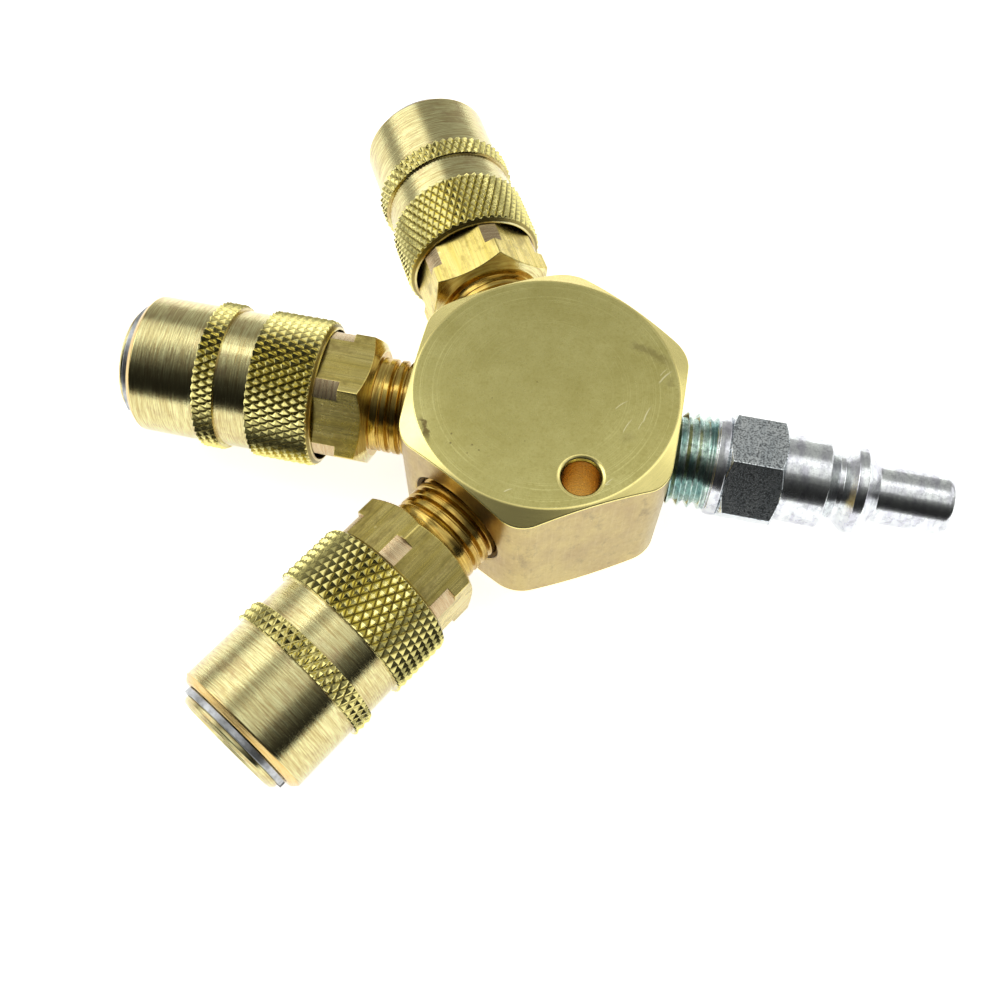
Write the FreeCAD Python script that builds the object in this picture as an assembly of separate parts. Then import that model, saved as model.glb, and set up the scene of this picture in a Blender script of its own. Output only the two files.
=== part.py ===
"""Three-port air manifold: a hexagonal brass block with a steel inlet plug and three quick couplers.

Millimetres, +Z up. The origin is the centre of the block's bottom face, on the surface that it
stands on. +X runs out of the inlet plug. Each fitting is drawn along its own axis, with x counted
from the face of the block outwards, and is then turned into its port.
"""
import FreeCAD, Part
import math
import os

V = FreeCAD.Vector
X_AXIS = V(1, 0, 0)
Z_AXIS = V(0, 0, 1)
ORIGIN = V(0, 0, 0)

# Block: hexagon bar, faced and chamfered in a lathe on both ends
BLOCK_FLATS = 34.925
BLOCK_HEIGHT = 22.4
BLOCK_FACE_RADIUS = 17.1
BLOCK_CHAMFER_ANGLE = 27.0
BLOCK_EDGE_RADIUS = 4.65

# Hanging hole through the block
HANG_HOLE_RADIUS = 2.38
HANG_HOLE_DISTANCE = 13.2
HANG_HOLE_ANGLE = -60.5
HANG_HOLE_CHAMFER = 0.6

# Ports: quarter-inch taper pipe thread, drawn at its major radius
THREAD_RADIUS = 6.67
THREAD_TAPER = 1.0 / 32.0
THREAD_END_CHAMFER = 1.0
THREAD_CLEARANCE = 0.02
PORT_DRILL_RADIUS = 5.55
PORT_COUNTERSINK = 0.65
PORT_THREAD_RUNOUT = 0.2
SEALANT_DEPTH = 0.4
SEALANT_STAND_OFF = 0.02

# Ports round the block: direction of each outlet, and how far its hexagon happened to be tightened
INLET_ANGLE = 0.0
INLET_HEX_TURN = 53.9
OUTLETS = {
    "front": {"angle": 240.0, "hex_turn": 26.7},
    "middle": {"angle": 180.0, "hex_turn": 3.6},
    "rear": {"angle": 120.0, "hex_turn": 41.0},
}

# Inlet plug: steel nipple with a hexagon and a quick-connect nose
PLUG_THREAD_IN = 8.6
PLUG_THREAD_OUT = 5.4
PLUG_COLLAR_RADIUS = 6.85
PLUG_COLLAR_LENGTH = 1.7
PLUG_HEX_FLATS = 13.2
PLUG_HEX_LENGTH = 7.4
PLUG_NOSE_LENGTH = 22.5
PLUG_BORE_RADIUS = 2.6
PLUG_TIP_RADIUS = 3.925
PLUG_TIP_LENGTH = 9.9
PLUG_TIP_ROUND = 0.8
PLUG_LAND_RADIUS = 5.95
PLUG_LAND_LENGTH = 1.2
PLUG_GROOVE_RADIUS = 4.45
PLUG_GROOVE_LENGTH = 0.6
HEX_CHAMFER_ANGLE = 30.0
PLUG_HEX_CHAMFER_RADIUS = 6.6

# Adapter: hexagon with the male thread, which carries the socket body
ADAPTER_THREAD_IN = 5.8
ADAPTER_THREAD_OUT = 4.3
ADAPTER_NECK_RADIUS = 6.45
ADAPTER_NECK_LENGTH = 1.1
ADAPTER_HEX_FLATS = 16.7
ADAPTER_HEX_FACE_RADIUS = 7.4
ADAPTER_HEX_LENGTH = 3.9
ADAPTER_TURNED_LENGTH = 6.7
ADAPTER_TURNED_MARGIN = 0.3
ADAPTER_END_CHAMFER = 0.3
ADAPTER_BORE_RADIUS = 3.7
SPIGOT_RADIUS = 6.2
SPIGOT_LENGTH = 5.4
SPIGOT_CLEARANCE = 0.02
SPIGOT_END_GAP = 0.1

# Socket body: takes the plug's nose and holds the seal, the valve and the locking balls
BODY_RADIUS = 7.5
BODY_END_LIP = 0.85
BODY_MOUTH_CHAMFER = 0.8
BODY_OUTER_CHAMFER = 0.4
MOUTH_CLEARANCE = 0.08
MOUTH_STEP = 0.25
MOUTH_BALL_MARGIN = 0.2
GUIDE_CLEARANCE = 0.125
CHAMBER_RADIUS = 5.3
CHAMBER_SHOULDER_DEPTH = 1.2
BODY_FACE_TO_SEAT = 3.5
SEAT_TO_SEAL = 5.7
SEAL_TO_LOCK_BORE = 5.2
LOCK_BORE_TO_BALL = 2.6

# Locking balls in stepped holes of the socket body
BALL_COUNT = 4
BALL_BITE = 0.55
BALL_STAND_OUT = 0.4
BALL_FIRST_ANGLE = 45.0
BALL_HOLE_CLEARANCE = 0.05
BALL_LEDGE_WIDTH = 0.025
BALL_LEDGE_DEPTH = 0.3
BALL_CLEARANCE = 0.02

# Sleeve: slides back towards the block and lets the balls move out along its ramp
SLEEVE_TRAVEL = 3.0
BALL_TRAVEL = 0.66
SLEEVE_STOP_CLEARANCE = 0.2
SLEEVE_REAR_RIM = 0.15
SLEEVE_REAR_CHAMFER = 0.7
SLEEVE_REAR_WALL = 0.4
KNURL_HEIGHT = 0.76
REAR_KNURL_WIDTH = 8.8
MIDDLE_BAND_WIDTH = 4.5
FRONT_KNURL_WIDTH = 2.8
KNURL_EDGE = 0.15
SLEEVE_END_LIP = 0.85
SLEEVE_FRONT_CHAMFER = 0.7
SLEEVE_RUNNING_GAP = 0.08
SPRING_POCKET_MARGIN = 1.0
SPRING_SHOULDER_TO_BALL = 5.0
RECESS_CLEARANCE = 0.1

# Retaining ring in front of the sleeve
RING_THICKNESS = 0.8
RING_GAP = 0.1
RING_GROOVE_DEPTH = 0.3
RING_STAND_OUT = 0.6
RING_OPENING = 24.0
RING_SIDE_CLEARANCE = 0.05

# Springs
SLEEVE_SPRING_WIRE = 0.4
SLEEVE_SPRING_CLEARANCE = 0.2
SLEEVE_SPRING_TURNS = 5.5
VALVE_SPRING_WIRE = 0.3
VALVE_SPRING_TURNS = 6.5
VALVE_SPRING_CLEARANCE = 0.32
SPRING_SEAT_GAP = 0.02
CLOSE_WIND = 1.06

# Valve: poppet with guide skirt, slotted nose and a soft seal
VALVE_TRAVEL = 4.5
POPPET_HEAD_MARGIN = 0.35
POPPET_HEAD_THICKNESS = 1.6
POPPET_NOSE_RADIUS = 3.4
POPPET_NOSE_REACH = 2.8
POPPET_NOSE_CHAMFER = 0.3
POPPET_SKIRT_CLEARANCE = 0.08
POPPET_SKIRT_CHAMFER = 0.4
POPPET_SKIRT_WALL = 0.6
POPPET_SKIRT_LENGTH = 5.0
POPPET_SLOT_WIDTH = 2.4
POPPET_NOSE_SLOT = 1.8
POPPET_NOSE_SLOT_DEPTH = 2.4
POPPET_SEAL_THICKNESS = 1.3
POPPET_SEAL_MARGIN = 0.4
POPPET_SEAL_GAP = 0.02

# Seals
PLUG_SEAL_WIRE = 0.85
PLUG_SEAL_NIP = 0.125
BODY_SEAL_WIRE = 0.4
SEAL_SIDE_CLEARANCE = 0.05

# Block: its middle
APOTHEM = BLOCK_FLATS / 2.0
AXIS_HEIGHT = BLOCK_HEIGHT / 2.0

# Places along a fitting's axis, counted from the face of the block
PLUG_COLLAR_END = PLUG_THREAD_OUT + PLUG_COLLAR_LENGTH
PLUG_HEX_END = PLUG_COLLAR_END + PLUG_HEX_LENGTH
ADAPTER_HEX_START = ADAPTER_THREAD_OUT + ADAPTER_NECK_LENGTH
ADAPTER_STEP = ADAPTER_HEX_START + ADAPTER_HEX_LENGTH
ADAPTER_END = ADAPTER_STEP + ADAPTER_TURNED_LENGTH
SPIGOT_START = ADAPTER_END - SPIGOT_LENGTH
CHAMBER_START = ADAPTER_HEX_START + CHAMBER_SHOULDER_DEPTH
VALVE_SEAT = ADAPTER_END + BODY_FACE_TO_SEAT
PLUG_SEAL_PLACE = VALVE_SEAT + SEAT_TO_SEAL
LOCK_BORE_START = PLUG_SEAL_PLACE + SEAL_TO_LOCK_BORE
BALL_PLACE = LOCK_BORE_START + LOCK_BORE_TO_BALL
SPRING_SHOULDER = BALL_PLACE - SPRING_SHOULDER_TO_BALL
SPRING_POCKET_START = ADAPTER_END + SLEEVE_TRAVEL + SPRING_POCKET_MARGIN
SLEEVE_START = ADAPTER_STEP + SLEEVE_TRAVEL + SLEEVE_STOP_CLEARANCE
REAR_KNURL_END = SLEEVE_START + REAR_KNURL_WIDTH
FRONT_KNURL_START = REAR_KNURL_END + MIDDLE_BAND_WIDTH
FRONT_KNURL_END = FRONT_KNURL_START + FRONT_KNURL_WIDTH
POPPET_FRONT = VALVE_SEAT - POPPET_SEAL_THICKNESS
POPPET_BACK = POPPET_FRONT - POPPET_HEAD_THICKNESS

# Radii that fit round or inside one another, from the plug's nose outwards
GUIDE_RADIUS = PLUG_TIP_RADIUS + GUIDE_CLEARANCE
MOUTH_RADIUS = PLUG_LAND_RADIUS + MOUTH_CLEARANCE
LOCK_BORE_RADIUS = MOUTH_RADIUS + MOUTH_STEP
BALL_INNER_REACH = PLUG_LAND_RADIUS - BALL_BITE
BALL_OUTER_REACH = BODY_RADIUS + BALL_STAND_OUT
BALL_RADIUS = (BALL_OUTER_REACH - BALL_INNER_REACH) / 2.0
BALL_CENTRE = (BALL_OUTER_REACH + BALL_INNER_REACH) / 2.0
BALL_LEDGE_RADIUS = BALL_RADIUS - BALL_LEDGE_WIDTH
BALL_LEDGE_HEIGHT = BALL_CENTRE - BALL_LEDGE_DEPTH
BALL_RAMP = BALL_TRAVEL / SLEEVE_TRAVEL
LAND_RADIUS = BODY_RADIUS + SLEEVE_RUNNING_GAP
RECESS_RADIUS = BALL_OUTER_REACH + BALL_TRAVEL + RECESS_CLEARANCE
SPRING_POCKET_RADIUS = BODY_RADIUS + 2 * (SLEEVE_SPRING_WIRE + SLEEVE_SPRING_CLEARANCE)
ADAPTER_TURNED_RADIUS = SPRING_POCKET_RADIUS + ADAPTER_TURNED_MARGIN
SLEEVE_REAR_BORE = ADAPTER_TURNED_RADIUS + SLEEVE_RUNNING_GAP
BAND_RADIUS = SLEEVE_REAR_BORE + SLEEVE_REAR_WALL
KNURL_RADIUS = BAND_RADIUS + KNURL_HEIGHT
RING_SEAT_RADIUS = BODY_RADIUS - RING_GROOVE_DEPTH
RING_OUTER_RADIUS = BODY_RADIUS + RING_STAND_OUT
POPPET_HEAD_RADIUS = CHAMBER_RADIUS - POPPET_HEAD_MARGIN
POPPET_SEAL_RADIUS = CHAMBER_RADIUS - POPPET_SEAL_MARGIN
POPPET_SKIRT_RADIUS = CHAMBER_RADIUS - POPPET_SKIRT_CLEARANCE
VALVE_SPRING_RADIUS = POPPET_SKIRT_RADIUS - POPPET_SKIRT_WALL - VALVE_SPRING_CLEARANCE - VALVE_SPRING_WIRE

# Front of the coupler: the sleeve ends past the balls' recess, then the ring, then the mouth
LIP_START = BALL_PLACE + SLEEVE_TRAVEL + BALL_RADIUS + RECESS_CLEARANCE
SLEEVE_END = LIP_START + SLEEVE_END_LIP
RING_START = SLEEVE_END + RING_GAP
BODY_MOUTH = RING_START + RING_THICKNESS + RING_SIDE_CLEARANCE + BODY_END_LIP
MOUTH_START = BALL_PLACE + BALL_RADIUS + MOUTH_BALL_MARGIN


def revolved(points):
    """A solid of revolution about X, from its half section as (x, radius) points."""
    corners = [V(x, radius, 0) for x, radius in points]
    outline = Part.makePolygon(corners + corners[:1])
    return Part.Face(outline).revolve(ORIGIN, X_AXIS, 360)


def rod(start, end, radius):
    """A round bar along X."""
    return Part.makeCylinder(radius, end - start, V(start, 0, 0), X_AXIS)


def hex_prism(flats, start, end, turn):
    """A hexagonal bar along X, with one corner turned from +Y towards +Z by the angle."""
    corner = flats / 2.0 / math.cos(math.radians(30))
    points = []
    for step in range(6):
        angle = math.radians(turn + 60 * step)
        points.append(V(start, corner * math.cos(angle), corner * math.sin(angle)))
    face = Part.Face(Part.makePolygon(points + points[:1]))
    return face.extrude(V(end - start, 0, 0))


def ring_of_wire(place, middle_radius, wire_radius):
    """An O-ring about X: a torus."""
    return Part.makeTorus(middle_radius, wire_radius, V(place, 0, 0), X_AXIS)


def coil_spring(start, end, middle_radius, wire_radius, turns):
    """A compression spring along X, with its first and last turn wound close."""
    steps_per_turn = 12
    close_turns = 0.75
    first = start + wire_radius + SPRING_SEAT_GAP
    last = end - wire_radius - SPRING_SEAT_GAP
    close_rise = close_turns * 2 * wire_radius * CLOSE_WIND
    open_turns = turns - 2 * close_turns
    points = []
    for step in range(int(turns * steps_per_turn) + 1):
        turn = step / steps_per_turn
        if turn < close_turns:
            place = first + close_rise * turn / close_turns
        elif turn > turns - close_turns:
            place = last - close_rise * (turns - turn) / close_turns
        else:
            share = (turn - close_turns) / open_turns
            place = first + close_rise + share * (last - first - 2 * close_rise)
        angle = 2 * math.pi * turn
        points.append(V(place, middle_radius * math.cos(angle), middle_radius * math.sin(angle)))
    path = Part.BSplineCurve()
    path.interpolate(points)
    wire_section = Part.Wire(Part.makeCircle(wire_radius, points[0], path.tangent(0)[0]))
    return Part.Wire(path.toShape()).makePipeShell([wire_section], True, True)


def into_port(shape, angle):
    """Carry a fitting drawn along X to its port on the block."""
    placed = shape.copy()
    placed.translate(V(APOTHEM, 0, AXIS_HEIGHT))
    placed.rotate(ORIGIN, Z_AXIS, angle)
    return placed


def thread_radius_at(x):
    """Major radius of the taper thread at a distance from the face of the block."""
    return THREAD_RADIUS + x * THREAD_TAPER


def port_hole(depth):
    """What a port takes out of the block: drilled way to the centre, taper thread, countersink."""
    deepest = -depth - PORT_THREAD_RUNOUT
    drill = rod(-APOTHEM, PORT_COUNTERSINK, PORT_DRILL_RADIUS)
    thread = revolved([
        (deepest, 0),
        (deepest, thread_radius_at(deepest) + THREAD_CLEARANCE),
        (PORT_COUNTERSINK, thread_radius_at(PORT_COUNTERSINK) + THREAD_CLEARANCE),
        (PORT_COUNTERSINK, 0),
    ])
    mouth = thread_radius_at(0) + PORT_COUNTERSINK
    countersink = revolved([
        (-PORT_COUNTERSINK, 0),
        (-PORT_COUNTERSINK, mouth - PORT_COUNTERSINK),
        (0, mouth),
        (PORT_COUNTERSINK, mouth + PORT_COUNTERSINK),
        (PORT_COUNTERSINK, 0),
    ])
    return drill.fuse([thread, countersink])


def manifold_block():
    """Hexagon bar with rounded edges, turned end faces, four ports and the hanging hole."""
    corner = APOTHEM / math.cos(math.radians(30))
    points = []
    for step in range(6):
        angle = math.radians(30 + 60 * step)
        points.append(V(corner * math.cos(angle), corner * math.sin(angle), 0))
    bar = Part.Face(Part.makePolygon(points + points[:1])).extrude(V(0, 0, BLOCK_HEIGHT))
    upright = [e for e in bar.Edges if abs(e.Vertexes[0].Z - e.Vertexes[1].Z) > BLOCK_HEIGHT / 2]
    bar = bar.makeFillet(BLOCK_EDGE_RADIUS, upright)

    drop = (corner - BLOCK_FACE_RADIUS) * math.tan(math.radians(BLOCK_CHAMFER_ANGLE))
    half_section = [
        V(0, 0, 0),
        V(BLOCK_FACE_RADIUS, 0, 0),
        V(corner, 0, drop),
        V(corner, 0, BLOCK_HEIGHT - drop),
        V(BLOCK_FACE_RADIUS, 0, BLOCK_HEIGHT),
        V(0, 0, BLOCK_HEIGHT),
    ]
    outline = Part.makePolygon(half_section + half_section[:1])
    block = bar.common(Part.Face(outline).revolve(ORIGIN, Z_AXIS, 360))

    holes = [into_port(port_hole(PLUG_THREAD_IN), INLET_ANGLE)]
    for outlet in OUTLETS.values():
        holes.append(into_port(port_hole(ADAPTER_THREAD_IN), outlet["angle"]))
    angle = math.radians(HANG_HOLE_ANGLE)
    centre = V(HANG_HOLE_DISTANCE * math.cos(angle), HANG_HOLE_DISTANCE * math.sin(angle), 0)
    wide = HANG_HOLE_RADIUS + HANG_HOLE_CHAMFER
    top = centre + V(0, 0, BLOCK_HEIGHT - HANG_HOLE_CHAMFER)
    holes.append(Part.makeCylinder(HANG_HOLE_RADIUS, BLOCK_HEIGHT, centre, Z_AXIS))
    holes.append(Part.makeCone(wide, HANG_HOLE_RADIUS, HANG_HOLE_CHAMFER, centre, Z_AXIS))
    holes.append(Part.makeCone(HANG_HOLE_RADIUS, wide, HANG_HOLE_CHAMFER, top, Z_AXIS))
    return block.cut(holes)


def sealant_bead():
    """Thread sealant left in the countersink, round the male thread."""
    deep = -PORT_COUNTERSINK + SEALANT_STAND_OFF
    shallow = deep + SEALANT_DEPTH
    inner = thread_radius_at(0) + SEALANT_STAND_OFF
    mouth = thread_radius_at(0) + PORT_COUNTERSINK
    return revolved([
        (deep, inner),
        (shallow, inner),
        (shallow, mouth + shallow - 2 * SEALANT_STAND_OFF),
        (deep, mouth + deep - 2 * SEALANT_STAND_OFF),
    ])


def hex_body(flats, turn, start, end, outline):
    """A hexagon whose corners are turned off to a half section of (x, radius) points."""
    bar = hex_prism(flats, start, end, turn)
    return bar.common(revolved([(start, 0)] + outline + [(end, 0)]))


def chamfer_length(from_radius, to_radius):
    """Length along the axis of a hexagon's end chamfer between two radii."""
    return (to_radius - from_radius) * math.tan(math.radians(HEX_CHAMFER_ANGLE))


def inlet_plug():
    """Steel plug: taper thread, collar, hexagon, and the nose that a coupler locks on to."""
    thread = revolved([
        (-PLUG_THREAD_IN, 0),
        (-PLUG_THREAD_IN, thread_radius_at(-PLUG_THREAD_IN) - THREAD_END_CHAMFER),
        (-PLUG_THREAD_IN + THREAD_END_CHAMFER, thread_radius_at(-PLUG_THREAD_IN + THREAD_END_CHAMFER)),
        (PLUG_THREAD_OUT, thread_radius_at(PLUG_THREAD_OUT)),
        (PLUG_THREAD_OUT, PLUG_COLLAR_RADIUS),
        (PLUG_COLLAR_END, PLUG_COLLAR_RADIUS),
        (PLUG_COLLAR_END, 0),
    ])
    corner = PLUG_HEX_FLATS / 2.0 / math.cos(math.radians(30)) + 0.01
    chamfer = chamfer_length(PLUG_HEX_CHAMFER_RADIUS, corner)
    hexagon = hex_body(PLUG_HEX_FLATS, INLET_HEX_TURN, PLUG_COLLAR_END, PLUG_HEX_END, [
        (PLUG_COLLAR_END, PLUG_HEX_CHAMFER_RADIUS),
        (PLUG_COLLAR_END + chamfer, corner),
        (PLUG_HEX_END - chamfer, corner),
        (PLUG_HEX_END, PLUG_HEX_CHAMFER_RADIUS),
    ])
    tip = PLUG_HEX_END + PLUG_NOSE_LENGTH
    shoulder = tip - PLUG_TIP_LENGTH
    land = shoulder - (PLUG_LAND_RADIUS - PLUG_TIP_RADIUS)
    land_back = land - PLUG_LAND_LENGTH
    slope = PLUG_LAND_RADIUS - PLUG_GROOVE_RADIUS
    groove_front = land_back - slope
    groove_back = groove_front - PLUG_GROOVE_LENGTH
    nose = revolved([
        (PLUG_HEX_END, 0),
        (PLUG_HEX_END, PLUG_LAND_RADIUS),
        (groove_back - slope, PLUG_LAND_RADIUS),
        (groove_back, PLUG_GROOVE_RADIUS),
        (groove_front, PLUG_GROOVE_RADIUS),
        (land_back, PLUG_LAND_RADIUS),
        (land, PLUG_LAND_RADIUS),
        (shoulder, PLUG_TIP_RADIUS),
        (tip - PLUG_TIP_ROUND, PLUG_TIP_RADIUS),
        (tip - PLUG_TIP_ROUND * 0.3, PLUG_TIP_RADIUS - PLUG_TIP_ROUND * 0.3),
        (tip, PLUG_TIP_RADIUS - PLUG_TIP_ROUND),
        (tip, 0),
    ])
    bore = rod(-PLUG_THREAD_IN, tip, PLUG_BORE_RADIUS)
    return thread.fuse([hexagon, nose]).cut(bore)


def adapter(turn):
    """Brass adapter: male thread, neck, and a hexagon turned down where the sleeve slides over it."""
    thread = revolved([
        (-ADAPTER_THREAD_IN, 0),
        (-ADAPTER_THREAD_IN, thread_radius_at(-ADAPTER_THREAD_IN) - THREAD_END_CHAMFER),
        (-ADAPTER_THREAD_IN + THREAD_END_CHAMFER, thread_radius_at(-ADAPTER_THREAD_IN + THREAD_END_CHAMFER)),
        (ADAPTER_THREAD_OUT, thread_radius_at(ADAPTER_THREAD_OUT)),
        (ADAPTER_THREAD_OUT, ADAPTER_NECK_RADIUS),
        (ADAPTER_HEX_START, ADAPTER_NECK_RADIUS),
        (ADAPTER_HEX_START, 0),
    ])
    corner = ADAPTER_HEX_FLATS / 2.0 / math.cos(math.radians(30)) + 0.01
    chamfer = chamfer_length(ADAPTER_HEX_FACE_RADIUS, corner)
    hexagon = hex_body(ADAPTER_HEX_FLATS, turn, ADAPTER_HEX_START, ADAPTER_END, [
        (ADAPTER_HEX_START, ADAPTER_HEX_FACE_RADIUS),
        (ADAPTER_HEX_START + chamfer, corner),
        (ADAPTER_STEP, corner),
        (ADAPTER_STEP, ADAPTER_TURNED_RADIUS),
        (ADAPTER_END - ADAPTER_END_CHAMFER, ADAPTER_TURNED_RADIUS),
        (ADAPTER_END, ADAPTER_TURNED_RADIUS - ADAPTER_END_CHAMFER),
    ])
    seal_width = 2 * (BODY_SEAL_WIRE + SEAL_SIDE_CLEARANCE)
    bores = revolved([
        (-ADAPTER_THREAD_IN, 0),
        (-ADAPTER_THREAD_IN, ADAPTER_BORE_RADIUS),
        (CHAMBER_START, ADAPTER_BORE_RADIUS),
        (CHAMBER_START, CHAMBER_RADIUS),
        (SPIGOT_START - SPIGOT_END_GAP, CHAMBER_RADIUS),
        (SPIGOT_START - SPIGOT_END_GAP, SPIGOT_RADIUS + SPIGOT_CLEARANCE),
        (ADAPTER_END - seal_width, SPIGOT_RADIUS + SPIGOT_CLEARANCE),
        (ADAPTER_END - seal_width, SPIGOT_RADIUS + seal_width),
        (ADAPTER_END, SPIGOT_RADIUS + seal_width),
        (ADAPTER_END, 0),
    ])
    return thread.fuse(hexagon).cut(bores)


def body_seal():
    """O-ring between the adapter's mouth and the socket body's shoulder."""
    place = ADAPTER_END - BODY_SEAL_WIRE - SEAL_SIDE_CLEARANCE
    return ring_of_wire(place, SPIGOT_RADIUS + BODY_SEAL_WIRE + SEAL_SIDE_CLEARANCE, BODY_SEAL_WIRE)


def ball_angles():
    """Angles of the locking balls round the coupler's axis, from +Y towards +Z."""
    return [BALL_FIRST_ANGLE + 360.0 / BALL_COUNT * step for step in range(BALL_COUNT)]


def outwards(angle, radius, place):
    """A point off the coupler's axis, and the direction in which it lies."""
    direction = V(0, math.cos(math.radians(angle)), math.sin(math.radians(angle)))
    return V(place, 0, 0) + direction * radius, direction


def socket_body():
    """Socket body: spigot, stepped bore, seal groove, ball holes and the retaining ring's groove."""
    ring_width = RING_THICKNESS + 2 * RING_SIDE_CLEARANCE
    ring_back = RING_START - RING_SIDE_CLEARANCE
    outside = revolved([
        (SPIGOT_START, 0),
        (SPIGOT_START, SPIGOT_RADIUS),
        (ADAPTER_END, SPIGOT_RADIUS),
        (ADAPTER_END, BODY_RADIUS),
        (ring_back, BODY_RADIUS),
        (ring_back, RING_SEAT_RADIUS),
        (ring_back + ring_width, RING_SEAT_RADIUS),
        (ring_back + ring_width, BODY_RADIUS),
        (BODY_MOUTH - BODY_OUTER_CHAMFER, BODY_RADIUS),
        (BODY_MOUTH, BODY_RADIUS - BODY_OUTER_CHAMFER),
        (BODY_MOUTH, 0),
    ])
    groove_half = PLUG_SEAL_WIRE + SEAL_SIDE_CLEARANCE
    groove_radius = PLUG_TIP_RADIUS - PLUG_SEAL_NIP + 2 * PLUG_SEAL_WIRE + SEAL_SIDE_CLEARANCE
    bores = revolved([
        (SPIGOT_START, 0),
        (SPIGOT_START, CHAMBER_RADIUS),
        (VALVE_SEAT, CHAMBER_RADIUS),
        (VALVE_SEAT, GUIDE_RADIUS),
        (PLUG_SEAL_PLACE - groove_half, GUIDE_RADIUS),
        (PLUG_SEAL_PLACE - groove_half, groove_radius),
        (PLUG_SEAL_PLACE + groove_half, groove_radius),
        (PLUG_SEAL_PLACE + groove_half, GUIDE_RADIUS),
        (LOCK_BORE_START - (LOCK_BORE_RADIUS - GUIDE_RADIUS), GUIDE_RADIUS),
        (LOCK_BORE_START, LOCK_BORE_RADIUS),
        (MOUTH_START - MOUTH_STEP, LOCK_BORE_RADIUS),
        (MOUTH_START, MOUTH_RADIUS),
        (BODY_MOUTH - BODY_MOUTH_CHAMFER, MOUTH_RADIUS),
        (BODY_MOUTH, MOUTH_RADIUS + BODY_MOUTH_CHAMFER),
        (BODY_MOUTH, 0),
    ])
    holes = []
    for angle in ball_angles():
        start, direction = outwards(angle, LOCK_BORE_RADIUS / 2, BALL_PLACE)
        ledge, direction = outwards(angle, BALL_LEDGE_HEIGHT, BALL_PLACE)
        holes.append(Part.makeCylinder(BALL_LEDGE_RADIUS, BODY_RADIUS, start, direction))
        wide = BALL_RADIUS + BALL_HOLE_CLEARANCE
        holes.append(Part.makeCylinder(wide, BODY_RADIUS, ledge, direction))
    return outside.cut([bores] + holes)


def locking_ball(angle):
    """One steel ball, held in by the sleeve."""
    centre, direction = outwards(angle, BALL_CENTRE, BALL_PLACE)
    return Part.makeSphere(BALL_RADIUS, centre)


def sleeve():
    """Knurled sleeve: spring pocket, land, release ramp for the balls, recess and front lip."""
    slope = math.atan(BALL_RAMP)
    ramp_at_ball = BALL_CENTRE + (BALL_RADIUS + BALL_CLEARANCE) / math.cos(slope)
    ramp_start = BALL_PLACE - (ramp_at_ball - LAND_RADIUS) / BALL_RAMP
    ramp_end = BALL_PLACE + (RECESS_RADIUS - ramp_at_ball) / BALL_RAMP
    outside = revolved([
        (SLEEVE_START, 0),
        (SLEEVE_START, SLEEVE_REAR_BORE + SLEEVE_REAR_RIM),
        (SLEEVE_START + SLEEVE_REAR_CHAMFER, KNURL_RADIUS),
        (REAR_KNURL_END - KNURL_EDGE, KNURL_RADIUS),
        (REAR_KNURL_END, BAND_RADIUS),
        (FRONT_KNURL_START, BAND_RADIUS),
        (FRONT_KNURL_START + KNURL_EDGE, KNURL_RADIUS),
        (FRONT_KNURL_END - KNURL_EDGE, KNURL_RADIUS),
        (FRONT_KNURL_END, BAND_RADIUS),
        (SLEEVE_END - SLEEVE_FRONT_CHAMFER, BAND_RADIUS),
        (SLEEVE_END, BAND_RADIUS - SLEEVE_FRONT_CHAMFER),
        (SLEEVE_END, 0),
    ])
    inside = revolved([
        (SLEEVE_START, 0),
        (SLEEVE_START, SLEEVE_REAR_BORE),
        (SPRING_POCKET_START, SLEEVE_REAR_BORE),
        (SPRING_POCKET_START, SPRING_POCKET_RADIUS),
        (SPRING_SHOULDER, SPRING_POCKET_RADIUS),
        (SPRING_SHOULDER, LAND_RADIUS),
        (ramp_start, LAND_RADIUS),
        (ramp_end, RECESS_RADIUS),
        (LIP_START, RECESS_RADIUS),
        (LIP_START, LAND_RADIUS),
        (SLEEVE_END, LAND_RADIUS),
        (SLEEVE_END, 0),
    ])
    return outside.cut(inside)


def retaining_ring():
    """Open spring-steel ring in its groove, the sleeve's front stop."""
    corners = [
        V(RING_START, RING_SEAT_RADIUS, 0),
        V(RING_START, RING_OUTER_RADIUS, 0),
        V(RING_START + RING_THICKNESS, RING_OUTER_RADIUS, 0),
        V(RING_START + RING_THICKNESS, RING_SEAT_RADIUS, 0),
    ]
    section = Part.Face(Part.makePolygon(corners + corners[:1]))
    return section.revolve(ORIGIN, X_AXIS, 360 - RING_OPENING)


def sleeve_spring():
    """Spring between the adapter's face and the sleeve's shoulder."""
    middle = (BODY_RADIUS + SPRING_POCKET_RADIUS) / 2.0
    return coil_spring(ADAPTER_END, SPRING_SHOULDER, middle, SLEEVE_SPRING_WIRE, SLEEVE_SPRING_TURNS)


def valve_spring():
    """Spring between the adapter's inner shoulder and the poppet's head."""
    return coil_spring(CHAMBER_START, POPPET_BACK, VALVE_SPRING_RADIUS, VALVE_SPRING_WIRE, VALVE_SPRING_TURNS)


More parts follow.
